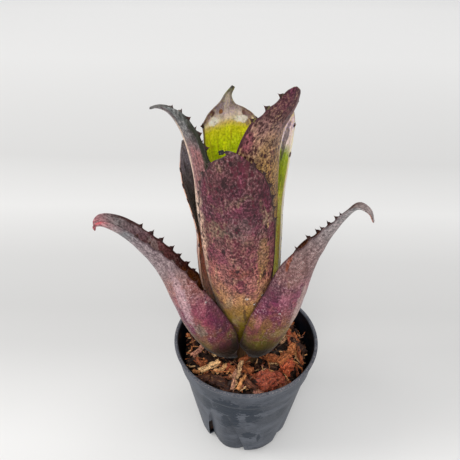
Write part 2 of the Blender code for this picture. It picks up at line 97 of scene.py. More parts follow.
def round_point(radius, angle, height):
    """A point at an angle round the pot's axis, counted from the front."""
    return radius * math.sin(angle), -radius * math.cos(angle), height


def turns(count):
    return [math.tau * k / count for k in range(count)]


def around(count, step=1):
    """The first points of neighbouring columns, in pairs, all the way round."""
    return [(k * step, (k + 1) % count * step) for k in range(count)]


def tube_faces(rings, size, tip=False, flip=False):
    """Faces of a closed tube of rings of points, which ends in a cap or in one more point."""
    last = (rings - 1) * size
    faces = [tuple(range(size))[::-1]]
    for first in range(0, last, size):
        faces += [(first + a, first + b, first + b + size, first + a + size) for a, b in around(size)]
    if tip:
        faces += [(last + a, last + b, last + size) for a, b in around(size)]
    else:
        faces.append(tuple(range(last, last + size)))
    return [face[::-1] for face in faces] if flip else faces


def put_in_scene(name, data):
    thing = bpy.data.objects.new(name, data)
    bpy.context.scene.collection.objects.link(thing)
    return thing


class Shell:
    """Points in millimetres, faces and point values of a piece while it is made."""

    def __init__(self):
        self.points = []
        self.faces = []
        self.values = {}

    def add(self, points, faces, **values):
        start = len(self.points)
        self.points.extend(points)
        self.faces.extend([tuple(start + k for k in face) for face in faces])
        for name, value in values.items():
            if np.ndim(value) == 0:
                value = [value] * len(points)
            self.values.setdefault(name, []).extend(value)

    def make(self, name, material, angle=180.0, replaces=()):
        mesh = bpy.data.meshes.new(name)
        mesh.from_pydata([tuple(c * MM for c in p) for p in self.points], [], self.faces)
        for key, values in self.values.items():
            layer = mesh.attributes.new(key, "FLOAT", "POINT")
            layer.data.foreach_set("value", np.array(values, dtype=np.float32))
        thing = put_in_scene(name, mesh)
        mesh.shade_smooth()
        if angle < 180.0:
            mesh.set_sharp_from_angle(angle=math.radians(angle))
        mesh.materials.append(material)
        mesh.validate()
        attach(thing, BODY)
        if replaces:
            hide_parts(*replaces)


# Materials

# Where most of a noise's values lie
NOISE_LOW = 0.34
NOISE_HIGH = 0.66


class Skin:
    """Adds nodes to one material; every value may be a number, a colour or another node's output."""

    def __init__(self, name):
        self.material = bpy.data.materials.new(name)
        self.material.use_nodes = True
        self.tree = self.material.node_tree

    def feed(self, socket, value):
        if isinstance(value, bpy.types.NodeSocket):
            self.tree.links.new(value, socket)
        elif socket.type == "RGBA":
            socket.default_value = (*value, 1.0)
        else:
            socket.default_value = value

    def node(self, kind, values, output=0, **settings):
        """Makes a node, feeds its inputs, in order or by name, and gives one of its outputs."""
        made = self.tree.nodes.new("ShaderNode" + kind)
        for key, value in settings.items():
            setattr(made, key, value)
        for key, value in values.items() if isinstance(values, dict) else enumerate(values):
            self.feed(made.inputs[key], value)
        return made.outputs[output]

    def value(self, name):
        return self.node("Attribute", (), "Fac", attribute_name=name)

    def place(self, scale=1000.0):
        """The point on the object, in millimetres."""
        return self.scaled(self.node("TexCoord", (), "Object"), (scale, scale, scale))

    def scaled(self, vector, factors, shift=(0.0, 0.0, 0.0)):
        return self.node("VectorMath", (vector, factors, shift), operation="MULTIPLY_ADD")

    def join(self, x, y, z=0.0):
        return self.node("CombineXYZ", (x, y, z))

    def axis(self, vector, number):
        return self.node("SeparateXYZ", (vector,), number)

    def noise(self, place, scale, detail=3.0, rough=0.55, twist=0.0, shift=(0.0, 0.0, 0.0)):
        """A noise with its own scale along each axis."""
        values = {"Vector": self.scaled(place, scale, shift), "Scale": 1.0, "Detail": detail}
        values.update({"Roughness": rough, "Distortion": twist})
        return self.node("TexNoise", values)

    def maths(self, operation, a, b=0.0):
        return self.node("Math", (a, b), operation=operation)

    def times(self, result, *others):
        for other in others:
            result = self.maths("MULTIPLY", result, other)
        return result

    def span(self, value, low, high, start, end, kind="LINEAR"):
        """The value moved from the range low to high into the range start to end."""
        return self.node("MapRange", (value, low, high, start, end), interpolation_type=kind)

    def level(self, value, low, high):
        return self.span(value, 0.0, 1.0, low, high)

    def mask(self, value, low, high):
        """0 below low, 1 above high, smooth between; low may be the greater."""
        ends = (0.0, 1.0) if low < high else (1.0, 0.0)
        return self.span(value, min(low, high), max(low, high), *ends, "SMOOTHSTEP")

    def vary(self, value, noise, reach):
        """The value with up to the reach added or taken away by a noise."""
        return self.maths("ADD", value, self.level(noise, -reach, reach))

    def blend(self, share, a, b, mode="MIX"):
        return self.node("Mix", {0: share, 6: a, 7: b}, 2, data_type="RGBA", blend_type=mode)

    def paint(self, colour, tone, *shares):
        """The colour with a tone over it, which covers as much as the shares multiplied."""
        return self.blend(self.times(*shares), colour, tint(*tone))

    def spread(self, colour, value, low, high):
        """The colour made darker or lighter by a noise: times low to times high."""
        return self.blend(1.0, colour, self.span(value, NOISE_LOW, NOISE_HIGH, low, high), "MULTIPLY")

    def ramp(self, value, stops):
        colour = self.node("ValToRGB", (value,))
        elements = colour.node.color_ramp.elements
        while len(elements) < len(stops):
            elements.new(0.5)
        for element, (place, tone) in zip(elements, stops):
            element.position = place
            element.color = (*tone, 1.0)
        return colour

    def patch(self, place, middle, reaches, noise, ragged, low=1.15, high=0.7):
        """1 inside an ellipse of the plane, 0 outside, with an edge made uneven by the noise."""
        factors = [1.0 / reach for reach in reaches]
        shift = [-centre / reach for centre, reach in zip(middle, reaches)]
        offset = self.scaled(place, (*factors, 0.0), (*shift, 0.0))
        away = self.node("VectorMath", (offset,), "Value", operation="LENGTH")
        return self.mask(self.vary(away, noise, ragged), low, high)

    def finish(self, colour, rough, bumps=(), others=None):
        """Sets the surface; a bump is (height, distance in millimetres, strength)."""
        inputs = {"Base Color": colour, "Roughness": rough, **(others or {})}
        normal = {}
        for height, distance, strength in bumps:
            values = {"Strength": strength, "Distance": distance * MM, "Height": height, **normal}
            normal = {"Normal": self.node("Bump", values)}
        for name, value in {**inputs, **normal}.items():
            self.feed(self.tree.nodes["Principled BSDF"].inputs[name], value)
        return self.material


# Leaves: the same table as the solids, in millimetres and degrees

LEAN = -0.045
LEAN_FROM = 60.0
MID_THICKNESS = 1.2
EDGE_THICKNESS = 0.65

# azimuth, then rows of (distance from the axis, height, sideways, half width, curl, roll)
LEAVES = {
    "leaf_front": (-5, (
        (9.2, 74, 0, 8.5, 52, 0), (11.2, 84, 0, 10.5, 53, 0), (14.9, 100, 0, 14.5, 55, 0),
        (18.3, 118, 0, 17.6, 56, 0), (20.2, 140, 0, 19.2, 55, 0), (20.8, 158, 0, 19, 54, 0),
        (20.8, 171, 0, 17.3, 50, 0), (20.6, 179.5, 0, 14.3, 44, 0), (20.4, 185.5, 0, 9.2, 34, 0),
        (20.4, 189.2, 0, 4.4, 24, 0), (20.6, 191.4, -0.6, 1.3, 16, 0), (21, 192.2, -2.2, 0.7, 12, 0),
        (21.2, 191.8, -4.4, 0.5, 10, 0),
    )),
    "leaf_upper_right": (36, (
        (7.6, 84, 0, 7, 52, 0), (11.4, 104, 0, 11, 54, 0), (15, 130, 0, 15, 56, 0),
        (16.2, 155, 0.4, 15.8, 55, 0), (16.4, 172, 0.6, 15, 52, 0), (16.8, 187, 1.6, 12.8, 46, 0),
        (18, 196, 3.6, 10.6, 40, 0), (19.8, 202, 6.4, 8.2, 34, 0), (21.2, 207, 9, 6, 28, 0),
        (22, 210.5, 10.4, 4.4, 24, 0), (22.6, 213, 10.8, 2.8, 18, 0), (23, 214.4, 11, 0.5, 10, 0),
    )),
    "leaf_back": (-161, (
        (6.6, 88, 0, 6, 50, 0), (10, 108, 0, 9.5, 54, 0), (13.4, 135, 0, 13, 56, 0),
        (14.2, 160, 0, 13.8, 54, 0), (14.6, 178, 0.2, 13.8, 50, 0), (15, 187, 0.2, 13.8, 46, 0),
        (15, 192.5, 0.2, 12.6, 40, 0), (14.9, 196.2, 0.2, 8.6, 32, 0), (14.8, 199, 0, 3.6, 22, 0),
        (14.6, 202.5, -0.8, 1.4, 14, 0), (14.3, 206, -3.2, 0.5, 10, 0),
    )),
    "leaf_upper_left": (-85, (
        (8.4, 79, -0.5, 7.5, 50, 0), (13, 97, -1.2, 12, 54, 0), (17, 120, -1.4, 15.2, 54, 0),
        (18.8, 145, -0.8, 16.4, 54, 2), (19.2, 165, 0, 16, 54, 6), (20, 179, 0, 15.2, 53, 10),
        (21.6, 188, 0, 13.8, 50, 14), (24.2, 196, 0, 10.6, 46, 18), (27.8, 201, 0, 5.8, 36, 20),
        (31.2, 202.6, 0, 2.2, 20, 10), (34.4, 202.2, 0, 0.5, 10, 0),
    )),
    "leaf_back_left": (-112, (
        (9.4, 72, 0, 8, 46, 0), (15, 90, 0, 11.4, 47, 0), (21.2, 110, 0, 14.4, 47, 0),
        (21.8, 128, 0, 15, 45, 0), (20.8, 143, 0, 14.8, 42, 0), (22.6, 154, 0, 13.2, 38, 0),
        (25.8, 164, 0, 10.4, 34, 0), (27.2, 172, 0, 6.8, 28, 0), (27.2, 178, 0, 2.8, 18, 0),
        (26.8, 183, 0, 0.5, 10, 0),
    )),
    "leaf_back_right": (128, (
        (9.2, 74, 0, 8, 50, 0), (13.2, 91, 0, 12.5, 52, 0), (17.8, 115, 0, 16.2, 53, 0),
        (19, 140, 0, 17.2, 53, 0), (19.6, 160, 0, 16.4, 50, 0), (21.8, 175, 0, 14.2, 44, 0),
        (24.6, 185, 0, 10.8, 36, 0), (27, 191.5, 0, 6.8, 28, 0), (28.4, 196, 0, 2.6, 18, 0),
        (28.8, 199, 0, 0.5, 10, 0),
    )),
    "leaf_lower_left": (-75, (
        (9.6, 60, 0, 10.4, 61, 0), (17.5, 65, 0.4, 23, 102, 0), (25.5, 74, 1, 29.2, 115, 3),
        (31, 86, 1.4, 29.4, 116, 7), (36.5, 105, 1, 24.6, 112, 9), (41, 124, 0.4, 16.8, 100, 9),
        (47.5, 138.8, 0, 11.2, 88, 6), (54, 148.6, 0, 8, 80, 2), (59, 153, 0, 6.4, 86, 0),
        (62.4, 154.8, 0, 4.8, 86, 0), (64.4, 154.4, 0, 2.6, 60, 0), (65.2, 152.2, 0, 0.5, 10, 0),
    )),
    "leaf_lower_right": (70, (
        (9.6, 62, 0, 11, 66, 0), (16, 68.5, -0.6, 22.6, 102, 0), (22, 80, -1.4, 26.4, 105, -1),
        (27.4, 96, -1.6, 27, 106, -3), (32.1, 113, -1.7, 23.5, 105, -5), (35.2, 130, -0.6, 18.2, 100, -9),
        (39.2, 143, 0, 11.6, 88, -12), (44.2, 154.6, 0, 6.8, 74, -16), (48.4, 163, 0, 3.6, 60, -16),
        (52.4, 167.6, 0, 2.8, 50, -4), (56.6, 166.4, 0, 1.8, 30, 0), (58.8, 162.5, 0, 0.5, 10, 0),
    )),
    "leaf_young": (20, (
        (4.6, 95, 0, 5, 60, 0), (6.4, 112, 0, 9, 80, 0), (7.4, 135, 0, 12.5, 95, 0),
        (6.6, 152, 0, 9, 85, 0), (5, 162, 0, 3.5, 50, 0), (4.4, 168, 0, 0.6, 10, 0),
    )),
}

# Where each margin carries spines: share of the leaf's length for each, left margin then right
SPINES = {
    "leaf_front": ((0.69, 0.74, 0.79, 0.835, 0.876, 0.915), (0.685, 0.735, 0.783, 0.831, 0.88, 0.92)),
    "leaf_upper_right": ((0.66, 0.705, 0.866, 0.912, 0.965), (0.7, 0.75, 0.8, 0.85, 0.9, 0.955)),
    "leaf_back": ((0.7, 0.81, 0.873), (0.7, 0.8, 0.875)),
    "leaf_upper_left": (
        (0.66, 0.72, 0.775, 0.825, 0.865, 0.9, 0.933),
        (0.67, 0.73, 0.785, 0.83, 0.87, 0.91),
    ),
    "leaf_back_left": ((0.62, 0.68, 0.74, 0.8, 0.855, 0.905), (0.6, 0.66, 0.72, 0.78, 0.84, 0.9)),
    "leaf_back_right": ((0.84, 0.93), (0.8, 0.88, 0.935)),
    "leaf_lower_left": (
        (0.5, 0.553, 0.609, 0.656, 0.716, 0.768, 0.821),
        (0.52, 0.575, 0.63, 0.69, 0.745, 0.8, 0.85),
    ),
    "leaf_lower_right": ((0.685, 0.74, 0.8, 0.86), (0.66, 0.71, 0.77, 0.84)),
    "leaf_young": ((), ()),
}

LEAF_ROWS = 210
LEAF_COLUMNS = 36
# How much closer the columns stand at the margins
COLUMN_SWING = 0.86 * math.pi
RIM_TURNS = 3
SCALLOP = 0.8
SPINE_LENGTH = 2.2
SPINE_LEVELS = (-0.25, 0.0, 0.15, 0.35, 0.6, 0.82, 1.0)
SPINE_SIDES = 8


class Leaf:
    """The middle surface of one leaf, for arrays of shares along it and places across it."""

    def __init__(self, name):
        azimuth, rows = LEAVES[name]
        self.rows = np.array(rows, float)
        steps = np.linalg.norm(np.diff(self.rows[:, :3], axis=0), axis=1)
        self.lengths = np.concatenate(([0.0], np.cumsum(steps)))
        self.length = self.lengths[-1]
        turn = math.radians(azimuth)
        self.outward = np.array((math.sin(turn), -math.cos(turn), 0.0))
        self.sideways = np.array((math.cos(turn), math.sin(turn), 0.0))

    def section(self, share):
        """Middle points, their three directions, half widths and half arcs in radians."""
        share = np.atleast_1d(np.asarray(share, float))
        values, rates = cubic(self.lengths, self.rows, share * self.length)
        out, up, side, half, curl, roll = values.T
        point = np.outer(out, self.outward) + np.outer(side, self.sideways)
        point[:, 0] += LEAN * (up - LEAN_FROM)
        point[:, 2] += up
        along = np.outer(rates[:, 0], self.outward) + np.outer(rates[:, 2], self.sideways)
        along[:, 0] += LEAN * rates[:, 1]
        along[:, 2] += rates[:, 1]
        along /= np.linalg.norm(along, axis=1)[:, None]
        across = self.sideways - along * (along @ self.sideways)[:, None]
        across /= np.linalg.norm(across, axis=1)[:, None]
        inward = np.cross(along, across)
        sine, cosine = np.sin(np.radians(roll))[:, None], np.cos(np.radians(roll))[:, None]
        across, inward = across * cosine + inward * sine, inward * cosine - across * sine
        return point, along, across, inward, np.maximum(half, 0.4), np.radians(np.maximum(curl, 3.0))

    def at(self, share, u, lift=0.0, beyond=0.0):
        """Points at u, -1 to 1, lifted inwards, and moved beyond along the arc; with their directions."""
        point, along, across, inward, half, curl = self.section(share)
        radius = half / curl
        angle = (np.asarray(u) * half + np.asarray(beyond)) / radius
        sine, cosine = np.sin(angle)[:, None], np.cos(angle)[:, None]
        normal = inward * cosine - across * sine
        sideways = across * cosine + inward * sine
        lift = np.broadcast_to(lift, angle.shape)[:, None]
        place = point + across * (radius[:, None] * sine) + inward * (radius[:, None] * (1.0 - cosine))
        return place + normal * lift, normal, sideways, along

    def thickness(self, share, u):
        thin = smooth_step(0.0, 5.0, self.section(share)[4])
        thick = mix(MID_THICKNESS, EDGE_THICKNESS, np.asarray(u) ** 2)
        return mix(EDGE_THICKNESS, thick, thin)

    def values(self, share, across, half, **others):
        """What the material reads at each point."""
        return dict(share=share, across=across, arc=across * half, run=share * self.length, **others)


def scallop_depth(shares, spines, length):
    """How far the margin stands in between spines."""
    depth = np.zeros(len(shares))
    for first, last in zip(spines, spines[1:]):
        inside = (shares > first) & (shares < last)
        t = (shares[inside] - first) / (last - first)
        depth[inside] = SCALLOP * np.minimum(1.0, (last - first) * length / 6.0) * np.sin(np.pi * t) ** 0.7
    return depth


def leaf_ring():
    """Once round a leaf: (place across, face from 1 within to -1 without, share beyond the margin)."""
    swing = np.linspace(-0.5, 0.5, LEAF_COLUMNS + 1) * COLUMN_SWING
    us = np.sin(swing) / math.sin(0.5 * COLUMN_SWING)
    bends = [math.pi * k / (RIM_TURNS + 1) for k in range(1, RIM_TURNS + 1)]
    ring = [(u, 1.0, 0.0) for u in us]
    ring += [(1.0, math.cos(bend), math.sin(bend)) for bend in bends]
    ring += [(u, -1.0, 0.0) for u in us[::-1]]
    return ring + [(-1.0, -math.cos(bend), math.sin(bend)) for bend in bends]


def build_leaf(name, material):
    leaf = Leaf(name)
    rng = random.Random(name)
    phase = rng.uniform(0.0, 100.0)
    shares = np.linspace(0.0, 1.0, LEAF_ROWS)
    half = leaf.section(shares)[4]
    insets = [scallop_depth(shares, spines, leaf.length) for spines in SPINES[name]]
    ring = leaf_ring()
    columns = []
    for u, layer, beyond in ring:
        across = np.full(LEAF_ROWS, u)
        thick = leaf.thickness(shares, across)
        inset = insets[0 if u < 0 else 1] * abs(u) ** 8
        push = (beyond * 0.5 * thick - inset) * (1.0 if u >= 0 else -1.0)
        ripple = [
            0.5 * fbm((phase + u * h * 0.05, s * leaf.length * 0.045, 0.0), 3)
            + 0.1 * math.sin(u * h * 1.9 + 0.8 * fbm((phase, s * 6.0, u), 2))
            for s, h in zip(shares, half)
        ]
        lift = np.array(ripple) * smooth_step(0.0, 6.0, half) * (1.0 - 0.5 * abs(u))
        columns.append(leaf.at(shares, across, layer * thick * 0.5 + lift, push)[0])
    size = len(ring)
    us, layers = np.tile(np.array(ring)[:, :2], (LEAF_ROWS, 1)).T
    shares, half = np.repeat(shares, size), np.repeat(half, size)
    edge = np.minimum((1.0 - np.abs(us)) * half, (1.0 - shares) * leaf.length)
    values = leaf.values(shares, us, half, inner=0.5 + 0.5 * layers, edge=edge, spine=0.0)
    shell = Shell()
    shell.add(np.stack(columns, axis=1).reshape(-1, 3), tube_faces(LEAF_ROWS, size), **values)
    for side, spines in zip((-1.0, 1.0), SPINES[name]):
        for share in spines:
            add_spine(shell, leaf, share, side, rng)
    shell.make(name + "_fine", material, replaces=(name,))


def add_spine(shell, leaf, share, side, rng):
    """One hooked thorn, wide where it grows out of the margin."""
    place, normal, sideways, along = (v[0] for v in leaf.at([share], [side]))
    half = leaf.section(share)[4][0]
    size = min(1.0, 0.55 + half / 16.0) * rng.uniform(0.85, 1.1)
    lean = rng.uniform(-0.12, 0.18)
    hook = rng.uniform(0.15, 0.4)
    length = SPINE_LENGTH * size
    points, values = [], []
    for level in SPINE_LEVELS:
        rise = max(level, 0.0)
        wide = (1.25 * (1.0 - rise) ** 1.9 + 0.16 * (1.0 - rise)) * size
        thick = (0.36 * (1.0 - rise) + 0.03) * size
        shift = (lean * level + hook * rise**2) * length
        middle = place + sideways * (side * level * length) + along * shift
        ring = [middle]
        if level < 1.0:
            ovals = [(wide * math.cos(turn), thick * math.sin(turn)) for turn in turns(SPINE_SIDES)]
            ring = [middle + along * flat + normal * deep for flat, deep in ovals]
        points += ring
        values += [min(1.0, 0.35 + rise * 1.4)] * len(ring)
    faces = tube_faces(len(SPINE_LEVELS) - 1, SPINE_SIDES, tip=True, flip=side < 0)
    shell.add(points, faces, **leaf.values(share, side, half, inner=0.5, edge=0.0, spine=values))


# Leaf looks


def face_colour(skin, look, place, share, across, edge, seed):
    """The colour of one face of a leaf, from ramps and noises in leaf space (mm across, mm along)."""
    shifted = skin.scaled(place, (1.0, 1.0, 1.0), (seed * 17.3, seed * 7.1, seed * 3.7))
    wander = skin.noise(shifted, (0.085, 0.05, 0.085))
    mottle = skin.noise(shifted, (0.42, 0.27, 0.42), 4.0, 0.6, 0.3)
    grain = skin.noise(shifted, (1.08, 0.84, 1.08), 3.0, 0.68)
    streak = skin.noise(shifted, (1.1, 0.045, 1.1))
    reach = look.get("wander", 0.12)
    colour = skin.ramp(skin.vary(share, wander, reach), toned(look["ramp"]))
    for tone, wide, tall, low, high, amount in look.get("stains", ()):
        shift = (tint(*tone)[0] * 90.0, 3.0, 5.0)
        field = skin.noise(shifted, (wide, tall, wide), 5.0, 0.62, 0.5, shift)
        shares = [skin.mask(field, low, high), amount]
        if "foot" in look:
            shares.append(skin.mask(share, 0.1, look["foot"]))
        if "stain_top" in look:
            shares.append(skin.mask(share, look["stain_top"], look["stain_top"] - reach))
        colour = skin.paint(colour, tone, *shares)
    for tone, middle, reaches, amount in look.get("marks", ()):
        colour = skin.paint(colour, tone, skin.patch(place, middle, reaches, mottle, 0.9), amount)
    plain = colour
    tone, amount = look["dark"]
    colour = skin.spread(colour, mottle, 1.0 - 0.75 * amount, 1.0 + 0.9 * amount)
    colour = skin.spread(colour, grain, 1.0 - 1.1 * amount, 1.0 + 1.3 * amount)
    colour = skin.paint(colour, tone, skin.mask(streak, 0.5, 0.7), look.get("streak", 0.3))
    colour = skin.paint(colour, tone, skin.mask(grain, 0.46, 0.34), amount)
    calm = look.get("calm", 0.0)
    if calm:
        colour = skin.blend(skin.times(skin.mask(share, calm, calm - 0.16), 0.75), colour, plain)
    if "hairs" in look:
        tone, low, amount = look["hairs"]
        winding = skin.noise(shifted, (0.34, 0.6, 0.34), 3.0, 0.6, 1.6, (3.0, 6.0, 1.0))
        line = skin.mask(skin.maths("ABSOLUTE", skin.maths("SUBTRACT", winding, 0.5)), 0.012, 0.004)
        shares = (line, skin.mask(share, low, low + 0.12), skin.mask(mottle, 0.46, 0.56), amount)
        colour = skin.paint(colour, tone, *shares)
    tone, amount = look["scurf"]
    patch = skin.noise(shifted, (0.13, 0.07, 0.13), 4.0, shift=(9.0, 2.0, 4.0))
    shares = (skin.mask(grain, 0.5, 0.66), skin.mask(patch, 0.34, 0.66), skin.mask(share, 0.12, 0.42))
    colour = skin.paint(colour, tone, *shares, amount)
    for tone, size, low, high, amount in look.get("spots", ()):
        cells = {"Vector": skin.scaled(shifted, (1.0, 0.6, 1.0)), "Scale": 1.0 / size}
        distance = skin.node("TexVoronoi", cells, "Distance")
        rare = skin.noise(shifted, (0.14, 0.09, 0.1), 4.0, shift=(size * 5.0, 0.0, 0.0))
        dot = skin.mask(skin.maths("SUBTRACT", skin.level(rare, low, high), distance), -0.03, 0.09)
        colour = skin.paint(colour, tone, dot, skin.mask(share, calm, calm + 0.08), amount)
    ragged = skin.vary(edge, mottle, 0.8)
    for tone, width, amount, side in look.get("edges", ()):
        shares = [skin.mask(ragged, width, width * 0.4), skin.mask(share, 0.97, 0.88), amount]
        if side:
            shares.append(skin.mask(skin.times(across, side), 0.1, 0.4))
        colour = skin.paint(colour, tone, *shares)
    return colour


def leaf_material(name, looks, seed, glow, reach):
    skin = Skin(name)
    share, across, edge, spine = (skin.value(key) for key in ("share", "across", "edge", "spine"))
    face = skin.mask(skin.value("inner"), 0.35, 0.65)
    place = skin.join(skin.value("arc"), skin.value("run"), skin.times(face, 40.0))
    outer = face_colour(skin, looks[0], place, share, across, edge, seed)
    inner = face_colour(skin, looks[1], place, share, across, edge, seed + 5)
    thorn = skin.ramp(spine, toned(((0.0, 60, 28, 24), (0.6, 34, 16, 14), (1.0, 70, 34, 24))))
    colour = skin.blend(skin.mask(spine, 0.3, 0.5), skin.blend(face, outer, inner), thorn)
    fine = skin.noise(place, (1.8, 1.2, 1.8), 4.0, 0.65)
    broad = skin.noise(place, (0.35, 0.2, 0.35))
    veins = skin.noise(place, (1.1, 0.03, 1.1), 2.0)
    others = {"Specular IOR Level": 0.3, "Sheen Weight": 0.12, "Sheen Roughness": 0.3}
    if glow:
        others.update({"Subsurface Weight": glow, "Subsurface Radius": reach, "Subsurface Scale": 0.003})
    bumps = ((veins, 0.3, 0.7), (broad, 0.5, 0.8), (fine, 0.2, 0.8))
    return skin.finish(colour, skin.level(broad, 0.3, 0.8), bumps, others)


# What a look holds, with colours in screen values and the leaf's length and width in shares or millimetres:
# ramp: (share of the length, red, green, blue), from the foot to the tip, made uneven by wander
# stains: (colour, scale across, scale along, low, high, amount), from foot up to stain_top
# marks: (colour, middle across and along, half sizes, amount)
# dark, scurf and hairs: noises laid over all; spots: (colour, size, low, high, amount), above calm
# edges: (colour, width, amount, side), with side 0 for both margins
MAROON = (58, 22, 32)
DARK_EDGE = ((46, 26, 26), 1.2, 0.85, 0)
GREEN_INNER = dict(
    ramp=((0, 60, 66, 12), (0.45, 62, 82, 10), (0.7, 70, 88, 16), (0.86, 76, 66, 50), (1, 24, 20, 18)),
    stains=(((40, 50, 10), 0.2, 0.03, 0.5, 0.66, 0.6),),
    dark=((34, 38, 12), 0.4),
    scurf=((150, 146, 120), 0.3),
    edges=(DARK_EDGE,),
)
FRONT = dict(
    ramp=(
        (0, 96, 82, 8), (0.17, 124, 102, 10), (0.25, 140, 104, 44), (0.34, 166, 120, 80),
        (0.44, 150, 92, 82), (0.54, 122, 72, 70), (0.645, 98, 60, 58), (0.74, 76, 32, 46),
        (0.82, 70, 30, 40), (0.91, 86, 48, 50), (0.95, 70, 52, 52), (0.975, 60, 54, 54), (1, 34, 28, 30),
    ),
    stains=(
        ((104, 40, 62), 0.13, 0.08, 0.5, 0.62, 0.7), ((150, 128, 98), 0.12, 0.07, 0.54, 0.68, 0.6),
        ((74, 20, 34), 0.5, 0.3, 0.57, 0.66, 0.8),
    ),
    marks=(
        ((62, 18, 34), (2, 101.6), (3.4, 3.4), 0.75), ((136, 120, 92), (-9, 82.5), (5, 4.6), 0.4),
        ((120, 102, 98), (2.5, 84), (6, 6.5), 0.3), ((216, 178, 152), (-19, 68), (4.6, 36), 0.8),
        ((86, 24, 38), (4.5, 70), (4.4, 7), 0.55), ((112, 40, 30), (1, 59.5), (5.4, 3.2), 0.6),
        ((150, 116, 66), (12.6, 66), (3.4, 12), 0.55), ((48, 30, 16), (2.4, 29), (1, 8), 0.7),
        ((92, 52, 24), (11.2, 56.4), (2, 6.4), 0.6), ((214, 166, 104), (11.8, 59.6), (0.4, 2.6), 0.8),
        ((206, 160, 100), (10.9, 55.4), (0.4, 2.4), 0.8), ((202, 158, 100), (9.6, 52), (0.4, 2), 0.75),
        ((200, 160, 110), (14.8, 83.7), (0.45, 1.5), 0.75), ((52, 24, 20), (13.6, 82.6), (0.8, 2.4), 0.8),
        ((226, 176, 122), (4.4, 42), (1.5, 0.9), 0.75),
    ),
    calm=0.36,
    dark=(MAROON, 0.68),
    scurf=((170, 132, 134), 0.5),
    spots=(
        ((30, 4, 10), 3.4, -0.5, 0.86, 0.85), ((40, 8, 14), 1.9, -0.4, 0.8, 0.85),
        ((84, 18, 38), 1.4, -0.3, 0.95, 0.75),
    ),
    edges=(DARK_EDGE,),
)
UPPER_RIGHT = dict(
    ramp=(
        (0, 120, 92, 40), (0.5, 150, 112, 52), (0.75, 150, 114, 64), (0.824, 146, 112, 90),
        (0.88, 120, 86, 82), (0.94, 86, 48, 52), (1, 78, 24, 50),
    ),
    stains=(
        ((104, 40, 54), 0.16, 0.12, 0.55, 0.66, 0.6), ((176, 144, 98), 0.2, 0.12, 0.54, 0.68, 0.6),
        ((74, 26, 28), 0.5, 0.34, 0.56, 0.64, 0.8),
    ),
    marks=(((110, 34, 62), (-9, 109), (3.2, 4), 0.7),),
    stain_top=0.89,
    dark=((66, 20, 26), 0.64),
    scurf=((196, 166, 122), 0.6),
    spots=(((50, 10, 18), 1.7, -0.3, 0.78, 0.9), ((54, 14, 18), 1, -0.05, 0.7, 0.85)),
    # The pale right margin is a painted rim highlight.
    edges=(((62, 22, 36), 1.3, 0.85, -1), ((226, 190, 172), 2.6, 0.9, 1)),
)
UPPER_RIGHT_INNER = dict(
    GREEN_INNER,
    ramp=(
        (0, 150, 140, 40), (0.45, 226, 214, 80), (0.66, 220, 210, 70), (0.8, 130, 146, 30), (1, 92, 84, 66),
    ),
    stains=(((190, 150, 60), 0.4, 0.05, 0.5, 0.66, 0.5),),
    edges=(),
)
BACK_INNER = dict(
    # Partly painted light: the leaf's own lime, brightened for light shining through it.
    ramp=(
        (0, 136, 166, 6), (0.5, 146, 170, 8), (0.72, 178, 196, 8), (0.79, 208, 218, 10),
        (0.84, 222, 214, 24), (0.862, 226, 196, 110), (0.876, 232, 210, 196), (0.9, 206, 182, 190),
        (0.925, 156, 132, 144), (0.96, 120, 104, 114), (1, 60, 54, 60),
    ),
    wander=0.02,
    stain_top=0.865,
    stains=(((150, 104, 26), 0.4, 0.06, 0.55, 0.7, 0.6), ((236, 240, 30), 0.3, 0.04, 0.5, 0.66, 0.6)),
    marks=(
        ((86, 30, 30), (7.4, 108.4), (1.2, 1.5), 0.9), ((150, 80, 30), (2.8, 108.2), (0.9, 1), 0.9),
        ((90, 34, 34), (-7.6, 106.8), (1.1, 1.5), 0.9), ((212, 190, 190), (0, 112), (1.4, 5), 0.6),
        ((124, 84, 92), (-9.5, 107.5), (2.8, 6), 0.8), ((124, 84, 92), (10.5, 108.5), (2.6, 5), 0.7),
        ((252, 240, 238), (-6.6, 104.2), (2.8, 1.9), 0.9), ((252, 240, 238), (7, 104.6), (3.2, 2), 0.9),
    ),
    dark=((130, 104, 20), 0.2),
    scurf=((214, 200, 120), 0.35),
    edges=(((96, 60, 60), 1.1, 0.75, 0),),
    streak=0.2,
)
BACK_OUTER = dict(FRONT, marks=())
UPPER_LEFT = dict(
    ramp=(
        (0, 120, 92, 50), (0.4, 160, 120, 100), (0.62, 160, 112, 104), (0.74, 140, 92, 90),
        (0.815, 132, 86, 86), (0.845, 104, 100, 100), (0.92, 96, 100, 100), (1, 112, 116, 116),
    ),
    stains=(((104, 56, 66), 0.5, 0.05, 0.5, 0.62, 0.75), ((70, 52, 54), 0.2, 0.1, 0.54, 0.66, 0.6)),
    wander=0.05,
    marks=(
        ((236, 206, 180), (1.2, 100), (2.2, 24), 0.85), ((240, 210, 186), (2.2, 68), (4.4, 26), 0.9),
        # Painted shade: the very dark green mark at 13.6 across, near the right margin.
        ((44, 34, 34), (9.5, 114.5), (2.4, 4.5), 0.65), ((34, 38, 14), (13.6, 108), (2.2, 12), 0.9),
    ),
    dark=((66, 46, 48), 0.5),
    scurf=((190, 180, 176), 0.45),
    # Painted shade: the dark green right edge.
    edges=(((190, 164, 144), 1.1, 0.7, -1), ((30, 34, 14), 3.2, 0.9, 1)),
)
UPPER_LEFT_INNER = dict(
    GREEN_INNER,
    ramp=((0, 60, 66, 12), (0.8, 40, 46, 16), (0.9, 56, 56, 46), (1, 96, 92, 92)),
)
